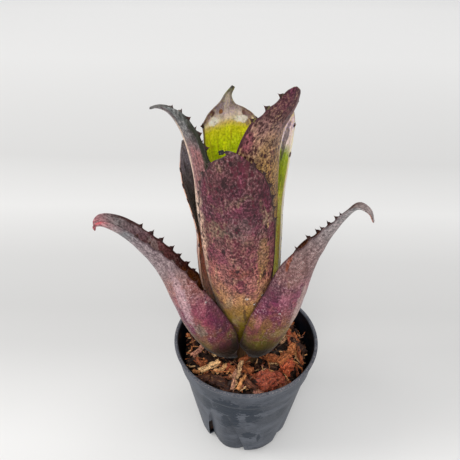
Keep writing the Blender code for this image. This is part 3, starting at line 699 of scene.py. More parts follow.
BACK_LEFT_INNER = dict(
    ramp=(
        (0, 90, 70, 30), (0.45, 250, 200, 160), (0.6, 236, 184, 146), (0.66, 100, 82, 44),
        (0.76, 76, 66, 54), (0.86, 104, 96, 100), (0.93, 140, 134, 144), (1, 140, 140, 150),
    ),
    stains=(((34, 28, 14), 0.2, 0.08, 0.5, 0.64, 0.7),),
    marks=(((236, 170, 148), (0, 48), (30, 24), 0.9),),
    dark=((36, 28, 18), 0.36),
    scurf=((150, 150, 158), 0.35),
    edges=(DARK_EDGE,),
)
BACK_RIGHT_OUTER = dict(
    FRONT,
    marks=(((246, 232, 176), (-17, 60), (4, 34), 0.9),),
    edges=(((226, 212, 196), 2, 0.9, 0),),
)
BACK_LEFT_OUTER = dict(
    UPPER_LEFT,
    ramp=(
        (0, 120, 96, 40), (0.5, 164, 118, 104), (0.62, 160, 116, 108), (0.8, 120, 90, 90),
        (1, 110, 110, 118),
    ),
    marks=(),
    edges=(((230, 180, 156), 1.6, 0.8, 0),),
)
BACK_RIGHT_INNER = dict(
    # Partly painted light: the leaf's own pale yellow and green, brightened for light shining through it.
    ramp=(
        (0, 236, 226, 100), (0.44, 252, 244, 180), (0.6, 252, 244, 170), (0.67, 236, 232, 80),
        (0.73, 178, 190, 10), (0.83, 150, 166, 14), (0.865, 230, 208, 216), (0.93, 206, 178, 192),
        (1, 120, 96, 106),
    ),
    wander=0.03,
    stains=(((104, 130, 6), 0.35, 0.05, 0.5, 0.64, 0.6), ((204, 196, 110), 0.3, 0.04, 0.55, 0.7, 0.5)),
    marks=(
        # Partly painted light: the large cream mark at -9.5 across is the strip's own cream, brightened where
        # the face lies in shade, for light shining through the leaf.
        ((74, 52, 66), (-3.6, 111), (1.8, 9), 0.75), ((255, 240, 160), (-9.5, 60), (14, 24), 1),
        ((236, 190, 120), (-9, 62), (1.6, 12), 0.6),
    ),
    dark=((104, 110, 26), 0.22),
    scurf=((206, 196, 176), 0.35),
    edges=(((220, 204, 190), 1, 0.8, 0),),
    streak=0.2,
)
LOWER = dict(
    ramp=(
        (0, 16, 10, 5), (0.14, 24, 16, 6), (0.2, 50, 38, 10), (0.25, 92, 76, 26), (0.3, 104, 64, 46),
        (0.38, 118, 52, 66), (0.48, 142, 86, 90), (0.58, 140, 98, 92), (0.68, 128, 108, 110),
        (0.8, 126, 112, 116), (0.9, 122, 122, 124), (0.945, 152, 116, 118), (0.965, 186, 84, 92),
        (1, 180, 62, 62),
    ),
    wander=0.08,
    foot=0.34,
    calm=0.3,
    stain_top=0.62,
    hairs=((224, 206, 200), 0.46, 0.75),
    marks=(
        ((62, 12, 42), (24.5, 46), (5, 14), 0.6), ((122, 26, 70), (17, 47), (6, 11), 0.4),
        # Painted highlight: the pale mark at 10.6 across, light along the flank.
        ((200, 166, 172), (10.6, 60), (2.8, 17), 0.55), ((112, 50, 42), (19, 67), (4, 4.6), 0.6),
        ((112, 114, 92), (13.6, 39), (3.6, 4.6), 0.5),
    ),
    stains=(
        ((98, 18, 60), 0.1, 0.07, 0.48, 0.6, 0.8), ((150, 112, 74), 0.12, 0.06, 0.55, 0.68, 0.5),
        ((118, 46, 48), 0.26, 0.18, 0.55, 0.66, 0.6), ((70, 24, 48), 0.4, 0.2, 0.56, 0.66, 0.6),
    ),
    dark=((66, 28, 42), 0.38),
    scurf=((196, 170, 172), 0.62),
    spots=(((60, 20, 30), 2.7, -0.08, 0.34, 0.7),),
    edges=(((60, 28, 40), 0.8, 0.55, 0),),
)
LOWER_RIGHT = dict(
    LOWER,
    marks=(
        ((140, 66, 30), (-14.6, 83), (1.1, 8), 0.85), ((58, 12, 40), (-20, 62), (5.4, 8.6), 0.65),
        # Painted highlights: the pale mark at -3 across and the pink mark at -22 across.
        ((84, 20, 56), (-22, 50), (3.6, 7), 0.6), ((204, 184, 172), (-3, 52), (3, 17), 0.5),
        ((150, 140, 58), (-10, 35), (6, 3.6), 0.3), ((180, 104, 116), (-22, 41), (1.6, 5), 0.35),
    ),
    ramp=(
        (0, 16, 10, 5), (0.15, 30, 22, 6), (0.23, 92, 82, 14), (0.3, 118, 84, 30), (0.38, 126, 66, 62),
        (0.47, 136, 70, 90), (0.58, 126, 88, 84), (0.68, 120, 96, 94), (0.8, 126, 114, 114),
        (0.92, 142, 142, 142), (0.97, 120, 96, 92), (1, 200, 120, 96),
    ),
)
LOWER_INNER = dict(
    ramp=(
        (0, 96, 60, 20), (0.46, 150, 84, 26), (0.53, 110, 60, 34), (0.6, 106, 58, 54), (0.7, 128, 78, 80),
        (0.82, 126, 98, 104), (0.9, 140, 132, 132), (1, 150, 90, 96),
    ),
    stains=(((58, 26, 26), 0.22, 0.09, 0.5, 0.64, 0.6),),
    marks=(((176, 158, 154), (-8.8, 84.5), (2.4, 5), 0.7),),
    dark=((52, 26, 26), 0.4),
    scurf=((170, 156, 156), 0.45),
    edges=(((64, 26, 18), 1.2, 0.85, 0),),
)
LOWER_RIGHT_INNER = dict(
    LOWER_INNER,
    ramp=((0, 96, 60, 20), (0.5, 140, 78, 34), (0.72, 134, 84, 56), (0.8, 120, 98, 90), (1, 140, 126, 124)),
    marks=(),
)
YOUNG = dict(GREEN_INNER, ramp=((0, 150, 150, 60), (0.8, 170, 164, 70), (1, 176, 150, 90)))
LOOKS = {
    "leaf_front": (FRONT, GREEN_INNER),
    "leaf_upper_right": (UPPER_RIGHT, UPPER_RIGHT_INNER),
    "leaf_back": (BACK_OUTER, BACK_INNER),
    "leaf_upper_left": (UPPER_LEFT, UPPER_LEFT_INNER),
    "leaf_back_left": (BACK_LEFT_OUTER, BACK_LEFT_INNER),
    "leaf_back_right": (BACK_RIGHT_OUTER, BACK_RIGHT_INNER),
    "leaf_lower_left": (LOWER, LOWER_INNER),
    "leaf_lower_right": (LOWER_RIGHT, LOWER_RIGHT_INNER),
    "leaf_young": (YOUNG, YOUNG),
}

# Drops of water on the outer faces: (leaf, share of its length, place across, radius in millimetres)
DEW = (
    ('leaf_front', 0.341, 0.68, 0.75), ('leaf_front', 0.345, 0.23, 0.85), ('leaf_front', 0.3, 0.46, 0.7),
    ('leaf_front', 0.272, 0.5, 0.6), ('leaf_lower_left', 0.475, 0.88, 0.75),
    ('leaf_lower_left', 0.52, 0.55, 0.45), ('leaf_lower_right', 0.41, -0.55, 0.55),
)
DEW_RINGS = 6
DEW_SIDES = 16
DEW_HEIGHT = 0.6
DEW_SINK = 0.12


def dew_material():
    skin = Skin("dew")
    haze = skin.noise(skin.place(), (1.4, 1.4, 1.4), 2.0)
    colour = skin.blend(haze, (0.98, 0.96, 0.92), (0.9, 0.86, 0.8))
    others = {"Transmission Weight": 0.9, "IOR": 1.33}
    return skin.finish(colour, skin.level(haze, 0.02, 0.1), (), others)


def build_dew():
    shell = Shell()
    for name, share, across, radius in DEW:
        leaf = Leaf(name)
        lift = -0.5 * leaf.thickness(share, across)[0]
        place, normal, sideways, along = (v[0] for v in leaf.at([share], [across], lift))
        points = []
        for rise in np.linspace(0.0, 0.5 * math.pi, DEW_RINGS + 1):
            reach = radius * math.cos(rise)
            middle = place - normal * (radius * DEW_HEIGHT * math.sin(rise) - DEW_SINK)
            for spin in turns(DEW_SIDES):
                flat = sideways * (math.cos(spin) * reach) + along * (math.sin(spin) * reach * 1.15)
                points.append(middle + flat)
        tip = DEW_RINGS * DEW_SIDES + 1
        shell.add(points[:tip], tube_faces(DEW_RINGS, DEW_SIDES, tip=True, flip=True))
    shell.make("dew", dew_material())


# Leaves that light shines through: the share of light let in, and how far each colour travels
LIT_THROUGH = {
    "leaf_back": (0.55, (0.8, 1.0, 0.12)),
    "leaf_back_right": (0.85, (1.0, 0.92, 0.3)),
    "leaf_back_left": (0.55, (1.0, 0.8, 0.5)),
}


def build_leaves():
    for seed, (name, looks) in enumerate(LOOKS.items(), 1):
        glow, reach = LIT_THROUGH.get(name, (0.0, None))
        build_leaf(name, leaf_material(name + "_skin", looks, seed, glow, reach))


# Pot

RIM_RADIUS = 40.0
POT_HEIGHT = 71.0
BASE_RADIUS = 27.0
WALL = 1.0
COLLAR_STEP = 1.3
COLLAR_FOOT = POT_HEIGHT - 14.0
FLOOR_TOP = 1.6
FOOT_BEVEL = 1.0
PETALS = 4
PETAL_TOP = 43.0
PETAL_LEFT = (-49.0, -33.5)
PETAL_RIGHT = (2.6, -13.7)
RISER_DEGREES = 1.2
SLOT_TOPS = {"petal": 6.5, "panel": 22}
# How far each piece of the foot stands in: (share of its width, millimetres)
INSETS = {
    "petal": ((0, 2.8), (0.11, 2.4), (0.24, 1.5), (0.38, 0.6), (0.54, 0), (0.7, 0.3), (0.86, 0.9), (1, 2.4)),
    "panel": ((0, 0), (0.2, -0.2), (0.4, -0.3), (0.6, -0.3), (0.8, -0.1), (1, 0)),
}
PIECE_COLUMNS = 30
# Heights of the wall's rows, from the bevel up to the collar, and how many of them the inside has
ROWS = [FOOT_BEVEL, 3, 5, 6.5, 9, 12, 15, 18, 22, 25, 28, 31, 34, 37, 40, PETAL_TOP, 47, 51]
ROWS.append(COLLAR_FOOT - 2.2 * COLLAR_STEP)
INNER_ROWS = 16
# Rows of the wall: (height, depth into the wall, step out)
OUTER_WALL = [(0.0, FOOT_BEVEL, 0.0), (0.25, 0.35, 0.0)]
OUTER_WALL += [(height, 0.0, 0.0) for height in ROWS]
OUTER_WALL += [(COLLAR_FOOT - 0.9, 0.0, 0.12), (COLLAR_FOOT - 0.35, 0.0, 0.55)]
OUTER_WALL += [(COLLAR_FOOT, 0.0, COLLAR_STEP * 0.7), (COLLAR_FOOT + 0.9, 0.0, COLLAR_STEP * 0.74)]
INNER_WALL = [(height, WALL, 0.0) for height in (COLLAR_FOOT, *ROWS[INNER_ROWS:0:-1], FLOOR_TOP)]
# Rings of the lip, from outside to inside: (in from the rim, down from the top, inside, rim)
LIP = (
    (0.9, 3, 0, 0.1), (0.6, 2.2, 0, 0.4), (0.12, 1.3, 0, 0.9), (0, 0.7, 0, 1), (0.18, 0.22, 0, 1),
    (0.6, 0, 0, 1), (1.3, 0, 0, 1), (1.7, 0.25, 0, 0.8), (2, 0.9, 0.6, 0.3), (2.15, 1.6, 1, 0),
)
GAP = 0.35


def wall_columns():
    """(sector, piece, share, inset) of each upright line of the wall, in order round the pot."""
    lines = []
    for sector in range(PETALS):
        for piece, shape in INSETS.items():
            shares = np.linspace(0.0, 1.0, PIECE_COLUMNS)
            insets = cubic(*zip(*shape), shares)[0][:, 0]
            lines += [(sector, piece, share, inset) for share, inset in zip(shares, insets)]
    return lines


def wall_point(line, height, depth=0.0, out=0.0):
    """Radius and angle of a line of the wall at a height."""
    sector, piece, share, inset = line
    rise = min(height / PETAL_TOP, 1.0)
    left, right = mix(*PETAL_LEFT, rise), mix(*PETAL_RIGHT, rise)
    if piece == "petal":
        degrees = mix(left + RISER_DEGREES, right - RISER_DEGREES, share)
        swing = mix(-1.0, 1.0, share)
    else:
        degrees = mix(right, left + 360.0 / PETALS, share)
        swing = mix(1.0, -1.0, share)
    fade = 1.0 - rise**2
    cone = mix(BASE_RADIUS, RIM_RADIUS - COLLAR_STEP, height / POT_HEIGHT)
    radius = cone - inset * fade - depth + out
    return radius, math.radians(degrees + sector * 360.0 / PETALS) + swing * fade * depth / radius


def close_ends(points, faces, count, size, low, high):
    """Joins the first point of each column to a point on the axis, and the last one to another."""
    under = len(points)
    points += [(0.0, 0.0, low), (0.0, 0.0, high)]
    for a, b in around(count, size):
        faces += [(under, b, a), (under + 1, a + size - 1, b + size - 1)]


# Wet, dark patches on the front of the pot: (x, z), half sizes, in millimetres
WET_PATCHES = (
    ((-9, 53), (7.5, 10)), ((-7, 38), (5, 8.5)), ((4, 54), (6.5, 7)), ((5, 43), (4.5, 4)),
    ((3.4, 22.5), (4, 4)), ((8.8, 17), (1, 4.6)), ((-20, 48), (3, 7)), ((21, 40), (3, 5)),
)
WET = (14, 28, 44)
DUST = (85, 89, 98)


def pot_material():
    skin = Skin("pot_plastic")
    place = skin.place()
    flat = skin.join(skin.axis(place, 0), skin.axis(place, 2))
    cloud = skin.noise(place, (0.07, 0.07, 0.09), 5.0, 0.6, 0.4)
    ragged = skin.noise(place, (0.34, 0.34, 0.5), 6.0, 0.68, 0.5, (7.0, 3.0, 1.0))
    film = skin.noise(place, (0.14, 0.14, 0.4), 6.0, 0.66, 0.8, (2.0, 8.0, 4.0))
    grit = skin.noise(place, (1.6, 1.6, 1.6), 4.0, 0.7)
    scratch = skin.noise(place, (0.25, 0.25, 3.2))
    colour = skin.blend(skin.mask(cloud, 0.36, 0.64), tint(58, 62, 71), tint(*DUST))
    colour = skin.paint(colour, (120, 122, 128), skin.mask(grit, 0.54, 0.7), 0.3)
    colour = skin.paint(colour, (116, 120, 128), skin.mask(scratch, 0.58, 0.7), 0.25)
    wet = skin.times(skin.mask(film, 0.58, 0.62), 0.7)
    front = skin.mask(skin.axis(place, 1), -8.0, -14.0)
    for middle, reaches in WET_PATCHES:
        blot = skin.patch(flat, middle, reaches, ragged, 1.3, 1.06, 0.94)
        wet = skin.maths("MAXIMUM", wet, skin.times(blot, front))
    wet = skin.times(wet, 0.96)
    colour = skin.paint(colour, WET, wet)
    # Painted shade: the inside of the pot is coloured far darker than the same plastic outside, for the shade
    # within it.
    dark = skin.blend(skin.mask(cloud, 0.4, 0.7), tint(5, 6, 11), tint(14, 16, 23))
    colour = skin.blend(skin.mask(skin.value("inside"), 0.4, 0.6), colour, dark)
    rim = skin.value("rim")
    # Painted highlight: the lip is speckled lighter grey, with a brighter speckled line along its top edge.
    colour = skin.paint(colour, (96, 97, 102), rim, skin.level(grit, 0.0, 0.6))
    colour = skin.paint(colour, (158, 146, 144), skin.mask(rim, 0.93, 1.0), skin.mask(grit, 0.5, 0.66), 0.6)
    rough = skin.maths("SUBTRACT", skin.level(cloud, 0.3, 0.56), skin.times(wet, 0.1))
    others = {"Specular IOR Level": 0.13, "Specular Tint": (0.72, 0.86, 1.0)}
    return skin.finish(colour, rough, ((cloud, 0.5, 0.6), (grit, 0.06, 0.6)), others)


def build_pot():
    lines = wall_columns()
    rows = []

    def slope(start, end, shares, inside):
        """Rows between two rings, each (radius, height)."""
        for share in shares:
            rows.append((mix(start[0], end[0], share), angle, mix(start[1], end[1], share), inside, 0.0))

    for line in lines:
        angle = wall_point(line, POT_HEIGHT)[1]
        collar, inner_collar = wall_point(line, COLLAR_FOOT)[0], wall_point(line, COLLAR_FOOT, WALL)[0]
        lip = [(RIM_RADIUS - inset, angle, POT_HEIGHT - drop, *rest) for inset, drop, *rest in LIP]
        rows += [(*wall_point(line, *row), row[0], 0.0, 0.0) for row in OUTER_WALL]
        slope((collar + COLLAR_STEP * 0.7, COLLAR_FOOT), lip[0][::2], (0.25, 0.5, 0.75, 0.92), 0.0)
        rows += lip
        slope(lip[-1][::2], (inner_collar, COLLAR_FOOT), (0.25, 0.5, 0.75), 1.0)
        rows += [(*wall_point(line, *row), row[0], 1.0, 0.0) for row in INNER_WALL]
    points = [round_point(*row[:3]) for row in rows]
    size = len(points) // len(lines)
    foot = 2
    faces = []

    def inner(row):
        return size - (row - foot) - 1

    for (a, b), (_, piece, share, _) in zip(around(len(lines), size), lines):
        head = foot + ROWS.index(SLOT_TOPS[piece]) if share == 1.0 else foot
        for row in range(size - 1):
            if not (foot <= row < head or inner(head) <= row < inner(foot)):
                faces.append((a + row, b + row, b + row + 1, a + row + 1))
        if head == foot:
            continue
        faces.append((a + inner(foot), b + inner(foot), b + foot, a + foot))
        faces.append((a + head, b + head, b + inner(head), a + inner(head)))
        for row in range(foot, head):
            faces.append((a + row, a + row + 1, a + inner(row + 1), a + inner(row)))
            faces.append((b + row + 1, b + row, b + inner(row), b + inner(row + 1)))
    close_ends(points, faces, len(lines), size, 0.0, FLOOR_TOP)
    shell = Shell()
    inside, rim = zip(*[row[3:] for row in rows], (0.0, 0.0), (1.0, 0.0))
    shell.add(points, faces, inside=inside, rim=rim)
    shell.make("pot_fine", pot_material(), angle=32.0, replaces=("pot",))


# Potting mix

SOIL_LEVEL = 62.5
SOIL_WELL = 5.5
SOIL_WELL_RADIUS = (12.0, 25.0)
SOIL_EDGE_DROP = 4.5
SOIL_EDGE = 34.6
SOIL_SIDES = (FLOOR_TOP + GAP, 4.0, 7.0, 11.0, 16.0, 22.0, 28.0, 34.0, 40.0, 46.0, 50.0, 54.0)
CHIP_REACH = 35.2


def soil_top(radius):
    well = SOIL_WELL * (1.0 - smooth_step(*SOIL_WELL_RADIUS, radius))
    return float(SOIL_LEVEL - well - SOIL_EDGE_DROP * smooth_step(31.0, SOIL_EDGE, radius))


def mix_material():
    skin = Skin("mix_crumb")
    place = skin.place()
    lump = skin.noise(place, (0.5, 0.5, 0.5), 6.0, 0.7)
    fibre = skin.noise(place, (0.3, 1.8, 1.0), 4.0, 0.6, 1.5)
    tones = ((0.34, 8, 5, 4), (0.5, 26, 14, 10), (0.62, 62, 34, 20), (0.75, 120, 72, 42))
    colour = skin.ramp(lump, toned(tones))
    colour = skin.paint(colour, (120, 70, 40), skin.mask(fibre, 0.56, 0.7), 0.5)
    return skin.finish(colour, skin.level(lump, 0.95, 0.6), ((lump, 0.8, 0.9),), {"Specular IOR Level": 0.3})


def build_soil():
    lines = wall_columns()
    radii = [SOIL_EDGE - 0.02, *np.linspace(34.0, 1.0, 60)]
    points, faces = [], []
    for line in lines:
        for height in SOIL_SIDES:
            radius, angle = wall_point(line, height, WALL + 2.0 * GAP)
            points.append(round_point(radius, angle, height))
        for radius in radii:
            x, y, z = round_point(radius, angle, soil_top(radius))
            ripple = 0.5 * math.sin(5.0 * angle + radius) + 0.4 * math.sin(9.0 * angle - 0.7 * radius)
            rough = 1.3 * fbm((x * 0.45, y * 0.45, 3.0), 4) * min(1.0, radius / 6.0)
            points.append((x, y, z + ripple * min(1.0, radius / 9.0) + rough))
    size = len(SOIL_SIDES) + len(radii)
    for a, b in around(len(lines), size):
        faces += [(a + row, b + row, b + row + 1, a + row + 1) for row in range(size - 1)]
    close_ends(points, faces, len(lines), size, SOIL_SIDES[0], soil_top(0.0))
    shell = Shell()
    shell.add(points, faces)
    shell.make("mix_bed", mix_material(), replaces=("substrate",))


CHIP_TONES = (
    (0, 20, 11, 9), (0.16, 52, 27, 18), (0.3, 96, 50, 30), (0.44, 152, 78, 42), (0.58, 188, 108, 60),
    (0.7, 218, 150, 92), (0.8, 232, 190, 136), (0.88, 176, 112, 98), (0.94, 152, 66, 42), (1, 198, 94, 56),
)
# Bark pieces seen from above: (x, y, lift, length, width, depth, turn, tone) in millimetres and degrees
PLACED_CHIPS = (
    (13.7, -25.6, 3.4, 13, 11, 6, 20, 0.94), (23, -17, 3.4, 7.4, 6.4, 5.2, 50, 0.99),
    (15.8, -8.8, 3, 8.4, 5.6, 3.6, -30, 0.5), (21.4, -11.4, 3, 7.6, 5, 3.2, 35, 0.56),
    (0, -10.4, 6.4, 8.2, 3.6, 2.2, 46, 0.48), (1.6, -16.8, 3.6, 5.6, 4.6, 3.2, -20, 0.5),
    (-3.6, -21, 3.4, 14.5, 2.4, 1.6, 76, 0.82), (-5.6, -26, 3.6, 12, 1.8, 1.4, 82, 0.86),
    (-1.6, -27, 3, 10, 1.8, 1.4, 66, 0.7), (-19, -18.8, 3.6, 11, 3.4, 1.8, 30, 0.78),
    (-12.6, -20, 3.4, 8.4, 3.2, 1.8, 46, 0.74), (-26.6, -8.6, 3.2, 8, 3.8, 2, 52, 0.87),
    (-14, -27.4, 2.4, 8, 4.6, 2.4, -15, 0.2), (-20.6, -24.6, 2.4, 8.6, 4.4, 2.6, 25, 0.24),
    (-8.6, -31, 2.2, 7.4, 3.6, 2.2, 10, 0.22), (29.6, -8.6, 4, 12, 1.6, 3.2, 96, 0.46),
    (28.4, -18, 3.8, 9, 1.6, 3, 100, 0.42), (8, -32, 3.2, 6.4, 4.6, 3, 5, 0.87),
    (3.6, -29.4, 3, 7.4, 4, 2.6, -35, 0.3), (20, -26, 3, 8, 5, 3, 60, 0.36),
    (26, -3.6, 3, 7.6, 4.4, 2.8, 70, 0.6), (-24.4, -16, 2.6, 7, 3.6, 2.4, -50, 0.44),
)
# Thin twigs: points (x, y, lift) and a radius
TWIGS = (
    (((13.7, -2.3, 6.4), (12.4, -6, 6), (11.9, -9.2, 5.6), (12.6, -14.4, 5.4), (13.1, -19.5, 5.6)), 0.42),
    (((10.4, -2.6, 6), (9.6, -4.4, 6.2), (7.6, -6.4, 6)), 0.4),
    (((10, -3.8, 6.1), (11.6, -5.6, 6), (13.2, -6.6, 5.8)), 0.36),
    (((-9, -13.4, 6.4), (-4.4, -16, 6.2), (1.4, -20.6, 5.4)), 0.34),
    (((-18, -22.6, 5.4), (-12.4, -23.6, 5.6), (-6.2, -21.6, 5.6)), 0.3),
    (((31.4, 1.6, 7.4), (33, 4.8, 8.2), (34.2, 8, 8.6)), 0.26),
)
TWIG_STEPS = 18
TWIG_SIDES = 7


def chip_material():
    skin = Skin("bark")
    place = skin.place()
    grain = skin.join(*(skin.value("grain_" + axis) for axis in "xyz"))
    fibre = skin.noise(grain, (0.18, 1.7, 1.7), 5.0, 0.65, 0.4)
    pit = skin.noise(place, (1.1, 1.1, 1.1), 5.0, 0.7)
    crumb = skin.noise(place, (2.6, 2.6, 2.6), 4.0, 0.7)
    colour = skin.ramp(skin.vary(skin.value("tone"), pit, 0.07), toned(CHIP_TONES))
    colour = skin.spread(colour, crumb, 0.15, 1.95)
    colour = skin.paint(colour, (34, 15, 9), skin.mask(fibre, 0.5, 0.62), 0.85)
    colour = skin.paint(colour, (224, 164, 106), skin.mask(fibre, 0.44, 0.32), 0.45)
    colour = skin.paint(colour, (26, 12, 8), skin.mask(pit, 0.55, 0.66), 0.8)
    bumps = ((fibre, 0.5, 0.9), (pit, 0.3, 0.7))
    return skin.finish(colour, skin.level(pit, 0.85, 0.5), bumps, {"Specular IOR Level": 0.4})


def bark_values(tone, grain):
    """What the material reads at each point: the tone of the piece, and the place along its own grain."""
    return dict(zip(("tone", "grain_x", "grain_y", "grain_z"), (tone, *zip(*grain))))


def chip(shell, middle, size, turn, tilt, tone, rng, cuts=5, wear=0.8):
    """A broken piece of bark: a slab of uneven outline with split ends, in its own grain direction."""
    length, width, depth = size
    seed = rng.uniform(0.0, 500.0)
    counts = (cuts * 2, cuts, 2)
    spin = Matrix.Rotation(turn, 3, "Z") @ Matrix.Rotation(tilt[0], 3, "X") @ Matrix.Rotation(tilt[1], 3, "Y")
    bend = rng.uniform(-0.12, 0.12)
    taper = rng.uniform(0.3, 0.9)
    skew = rng.uniform(-0.5, 0.5)
    index = {}
    points, grain, faces = [], [], []

    def vertex(key):
        if key in index:
            return index[key]
        x, y, z = (2.0 * k / count - 1.0 for k, count in zip(key, counts))
        ends = 1.0 + 0.22 * noise.noise(Vector((seed, y * 1.7, z)))
        px = (x * ends + skew * 0.25 * y) * length * 0.5
        narrow = mix(1.0, taper, 0.5 + 0.5 * x)
        py = y * narrow * width * 0.5 * (1.0 + 0.35 * noise.noise(Vector((x * 1.6, seed, z))))
        pz = z * depth * 0.5 * (1.0 - 0.45 * abs(y) ** 3) * (1.0 - 0.4 * abs(x) ** 3)
        pz += bend * x * x * length
        rough = noise.noise_vector(Vector((px * 0.55, py * 0.9, pz * 0.9 + seed))) * wear
        rough += noise.noise_vector(Vector((px * 0.2, py * 2.2, pz * 2.0 + seed))) * wear * 0.35
        place = Vector(middle) + spin @ (Vector((px, py, pz)) + rough)
        radius = math.hypot(place.x, place.y)
        if radius > CHIP_REACH:
            place.xy *= CHIP_REACH / radius
        index[key] = len(points)
        points.append(place)
        grain.append((px + seed, py, pz))
        return index[key]

    for axis in range(3):
        one, two = (axis + 1) % 3, (axis + 2) % 3
        for end in (0, counts[axis]):
            for i in range(counts[one]):
                for j in range(counts[two]):
                    key = {axis: end}
                    corners = []
                    for key[one], key[two] in ((i, j), (i + 1, j), (i + 1, j + 1), (i, j + 1)):
                        corners.append(vertex((key[0], key[1], key[2])))
                    faces.append(corners if end else corners[:1] + corners[:0:-1])
    shell.add(points, faces, **bark_values(tone, grain))


def twig(shell, path, radius, tone):
    """A thin root or twig through the points."""
    places = cubic(np.linspace(0.0, 1.0, len(path)), path, np.linspace(0.0, 1.0, TWIG_STEPS))[0]
    points = []
    for step, (x, y, lift) in enumerate(places):
        middle = Vector((x, y, soil_top(math.hypot(x, y)) + lift))
        middle += noise.noise_vector(middle * 0.4) * 0.4
        thick = radius * mix(1.0, 0.45, abs(2.0 * step / (TWIG_STEPS - 1) - 1.0) ** 2)
        for side, turn in enumerate(turns(TWIG_SIDES)):
            wobble = 1.0 + 0.2 * noise.noise(Vector((step * 0.7, side * 2.0, radius * 30.0)))
            flat = Vector((math.cos(turn), math.sin(turn) * 0.5, math.sin(turn)))
            points.append(middle + flat * (thick * wobble))
    grain = [(y, x, z) for x, y, z in points]
    shell.add(points, tube_faces(TWIG_STEPS, TWIG_SIDES), **bark_values(tone, grain))


GOLDEN = math.pi * (3.0 - math.sqrt(5.0))
COARSE = {
    "count": 110,
    "reaches": (10.0, 33.2),
    "twist": 1.0,
    "sizes": ((5.0, 12.0), (2.0, 4.8), (1.2, 2.6)),
    "lift": (-0.6, 1.6),
    "tilts": (0.7, 0.5),
    "tones": (0.03, 0.08, 0.12, 0.16, 0.2, 0.26, 0.34, 0.42, 0.5, 0.58, 0.68, 0.8, 0.94),
    "blur": 0.04,
}
FINE = {
    "count": 460,
    "reaches": (9.0, 34.2),
    "twist": 1.7,
    "sizes": ((2.0, 6.5), (0.4, 1.4), (0.35, 0.9)),
    "lift": (0.2, 2.2),
    "tilts": (0.8, 0.7),
    "tones": (0.06, 0.14, 0.24, 0.4, 0.56, 0.7, 0.8, 0.84),
    "blur": 0.05,
    "cuts": 2,
    "wear": 0.2,
}


def scatter(shell, rng, count, reaches, twist, sizes, lift, tilts, tones, blur, **others):
    """Loose pieces spread evenly over the mix, each drawn from the ranges given."""
    for index in range(count):
        radius = math.sqrt(mix(reaches[0] ** 2, reaches[1] ** 2, (index + 0.5) / count))
        angle = index * GOLDEN * twist + rng.uniform(-0.3, 0.3)
        size = [rng.uniform(*limits) for limits in sizes]
        middle = round_point(radius, angle, soil_top(radius) + rng.uniform(*lift))
        tilt = [rng.uniform(-reach, reach) for reach in tilts]
        tone = rng.choice(tones)
        turn = rng.uniform(0.0, math.tau)
        chip(shell, middle, size, turn, tilt, tone + rng.uniform(-blur, blur), rng, **others)


def build_chips():
    material = chip_material()
    rng = random.Random(23)
    coarse = Shell()
    fine = Shell()
    for x, y, lift, length, width, depth, turn, tone in PLACED_CHIPS:
        middle = (x, y, soil_top(math.hypot(x, y)) + lift)
        tilt = (rng.uniform(-0.25, 0.25), rng.uniform(-0.2, 0.2))
        wear = 1.9 if depth > 5.0 else 0.9
        chip(coarse, middle, (length, width, depth), math.radians(turn), tilt, tone, rng, 9, wear)
    scatter(coarse, rng, **COARSE)
    scatter(fine, rng, **FINE)
    for path, radius in TWIGS:
        twig(fine, path, radius, rng.uniform(0.3, 0.75))
    coarse.make("bark_chips", material, angle=40.0)
    fine.make("bark_crumbs", material, angle=40.0)


# Stem


def dress_stem():
    skin = Skin("stem_bark")
    fibre = skin.noise(skin.place(), (1.2, 1.2, 0.12), 5.0, 0.6, 0.5)
    colour = skin.ramp(fibre, toned(((0.3, 34, 20, 10), (0.5, 78, 50, 22), (0.7, 120, 92, 46))))
    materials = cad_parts["stem"].data.materials
    materials.clear()
    materials.append(skin.finish(colour, skin.level(fibre, 0.6, 0.9), ((fibre, 0.5, 0.8),)))


# Floor, light and camera

# Painted light and shade on the card: its tone at a distance from the pot's axis, in metres, with a painted
# shadow round the pot, a painted band of light further back and lighter far away
CARD_PAINTED_LIGHT = (
    (-0.03, 0.8), (0, 0.73), (0.015, 0.7), (0.05, 0.62), (0.09, 0.59), (0.157, 0.63), (0.243, 0.76),
    (0.364, 0.67), (0.546, 0.74), (0.853, 0.86), (1.47, 1),
)
CARD_ENDS = (-0.1, 1.6)
CARD_WARMTH = (1.0, 0.995, 0.985)
CARD_REACH = 6.0
CARD_DROP = 0.0002
SKY = (0.985, 0.99, 1.0, 1.0)
SKY_STRENGTH = 0.64
WARM = (1.0, 0.99, 0.97)
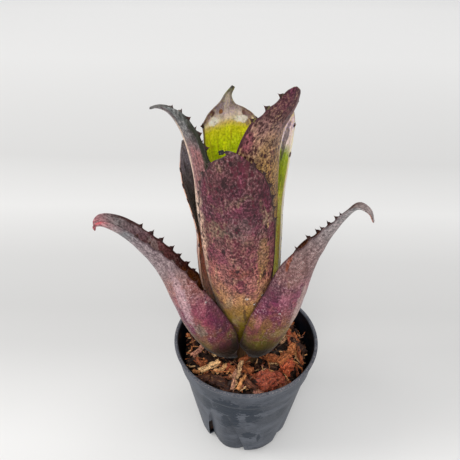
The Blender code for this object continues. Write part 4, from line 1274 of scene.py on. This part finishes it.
# name, place, aim, width, power, colour
LIGHTS = (
    ("front", (-0.1, -1.5, 1.6), (0.0, 0.0, 0.1), 1.0, 18.0, WARM),
    ("key", (-1.4, -0.1, 1.3), (0.0, 0.0, 0.1), 0.7, 11.0, WARM),
    ("rim", (1.0, 0.6, 1.2), (0.0, 0.0, 0.12), 0.7, 3.0, (1.0, 1.0, 1.0)),
)
CAMERA_PLACE = (0.0, -0.1786, 0.2667)
CAMERA_DOWN = 34.81
CAMERA_LEFT = 2.86
CAMERA_LENS = 36.0
CAMERA_SENSOR = 36.0


def floor_material():
    skin = Skin("floor_card")
    place = skin.place(1.0)
    soft = skin.noise(place, (3.0, 3.0, 3.0))
    grain = skin.noise(place, (900.0, 900.0, 900.0), 2.0)
    # The card's tone runs along its depth through the painted shadow and painted bands of light.
    back = skin.span(skin.vary(skin.axis(place, 1), soft, 0.02), *CARD_ENDS, 0.0, 1.0)
    near, far = CARD_ENDS
    stops = [((y - near) / (far - near), [tone * part for part in CARD_WARMTH]) for y, tone in CARD_PAINTED_LIGHT]
    return skin.finish(skin.ramp(back, stops), 0.7, ((grain, 0.02, 0.3),), {"Specular IOR Level": 0.1})


def build_floor():
    mesh = bpy.data.meshes.new("floor")
    signs = ((-1, -1), (1, -1), (1, 1), (-1, 1))
    mesh.from_pydata([(x * CARD_REACH, y * CARD_REACH, 0.0) for x, y in signs], [], [(0, 1, 2, 3)])
    mesh.materials.append(floor_material())
    floor = put_in_scene("floor", mesh)
    floor.location.z = -CARD_DROP


def build_lights():
    world = bpy.data.worlds.new("studio")
    world.use_nodes = True
    sky = world.node_tree.nodes["Background"].inputs
    sky["Color"].default_value = SKY
    sky["Strength"].default_value = SKY_STRENGTH
    bpy.context.scene.world = world
    for name, place, aim, width, power, colour in LIGHTS:
        light = bpy.data.lights.new(name, "AREA")
        light.shape = "RECTANGLE"
        light.size = width
        light.size_y = width
        light.energy = power
        light.color = colour
        thing = put_in_scene(name, light)
        thing.location = place
        thing.rotation_euler = (Vector(aim) - Vector(place)).to_track_quat("-Z", "Y").to_euler()


def build_camera():
    data = bpy.data.cameras.new("camera")
    data.sensor_width = CAMERA_SENSOR
    data.lens = CAMERA_LENS
    data.clip_start = 0.01
    camera = put_in_scene("camera", data)
    camera.location = CAMERA_PLACE
    camera.rotation_euler = (math.radians(90.0 - CAMERA_DOWN), 0.0, math.radians(CAMERA_LEFT))
    bpy.context.scene.camera = camera


bpy.context.scene.view_settings.view_transform = "Standard"
build_camera()
build_lights()
build_floor()
build_pot()
build_soil()
build_chips()
dress_stem()
build_leaves()
build_dew()
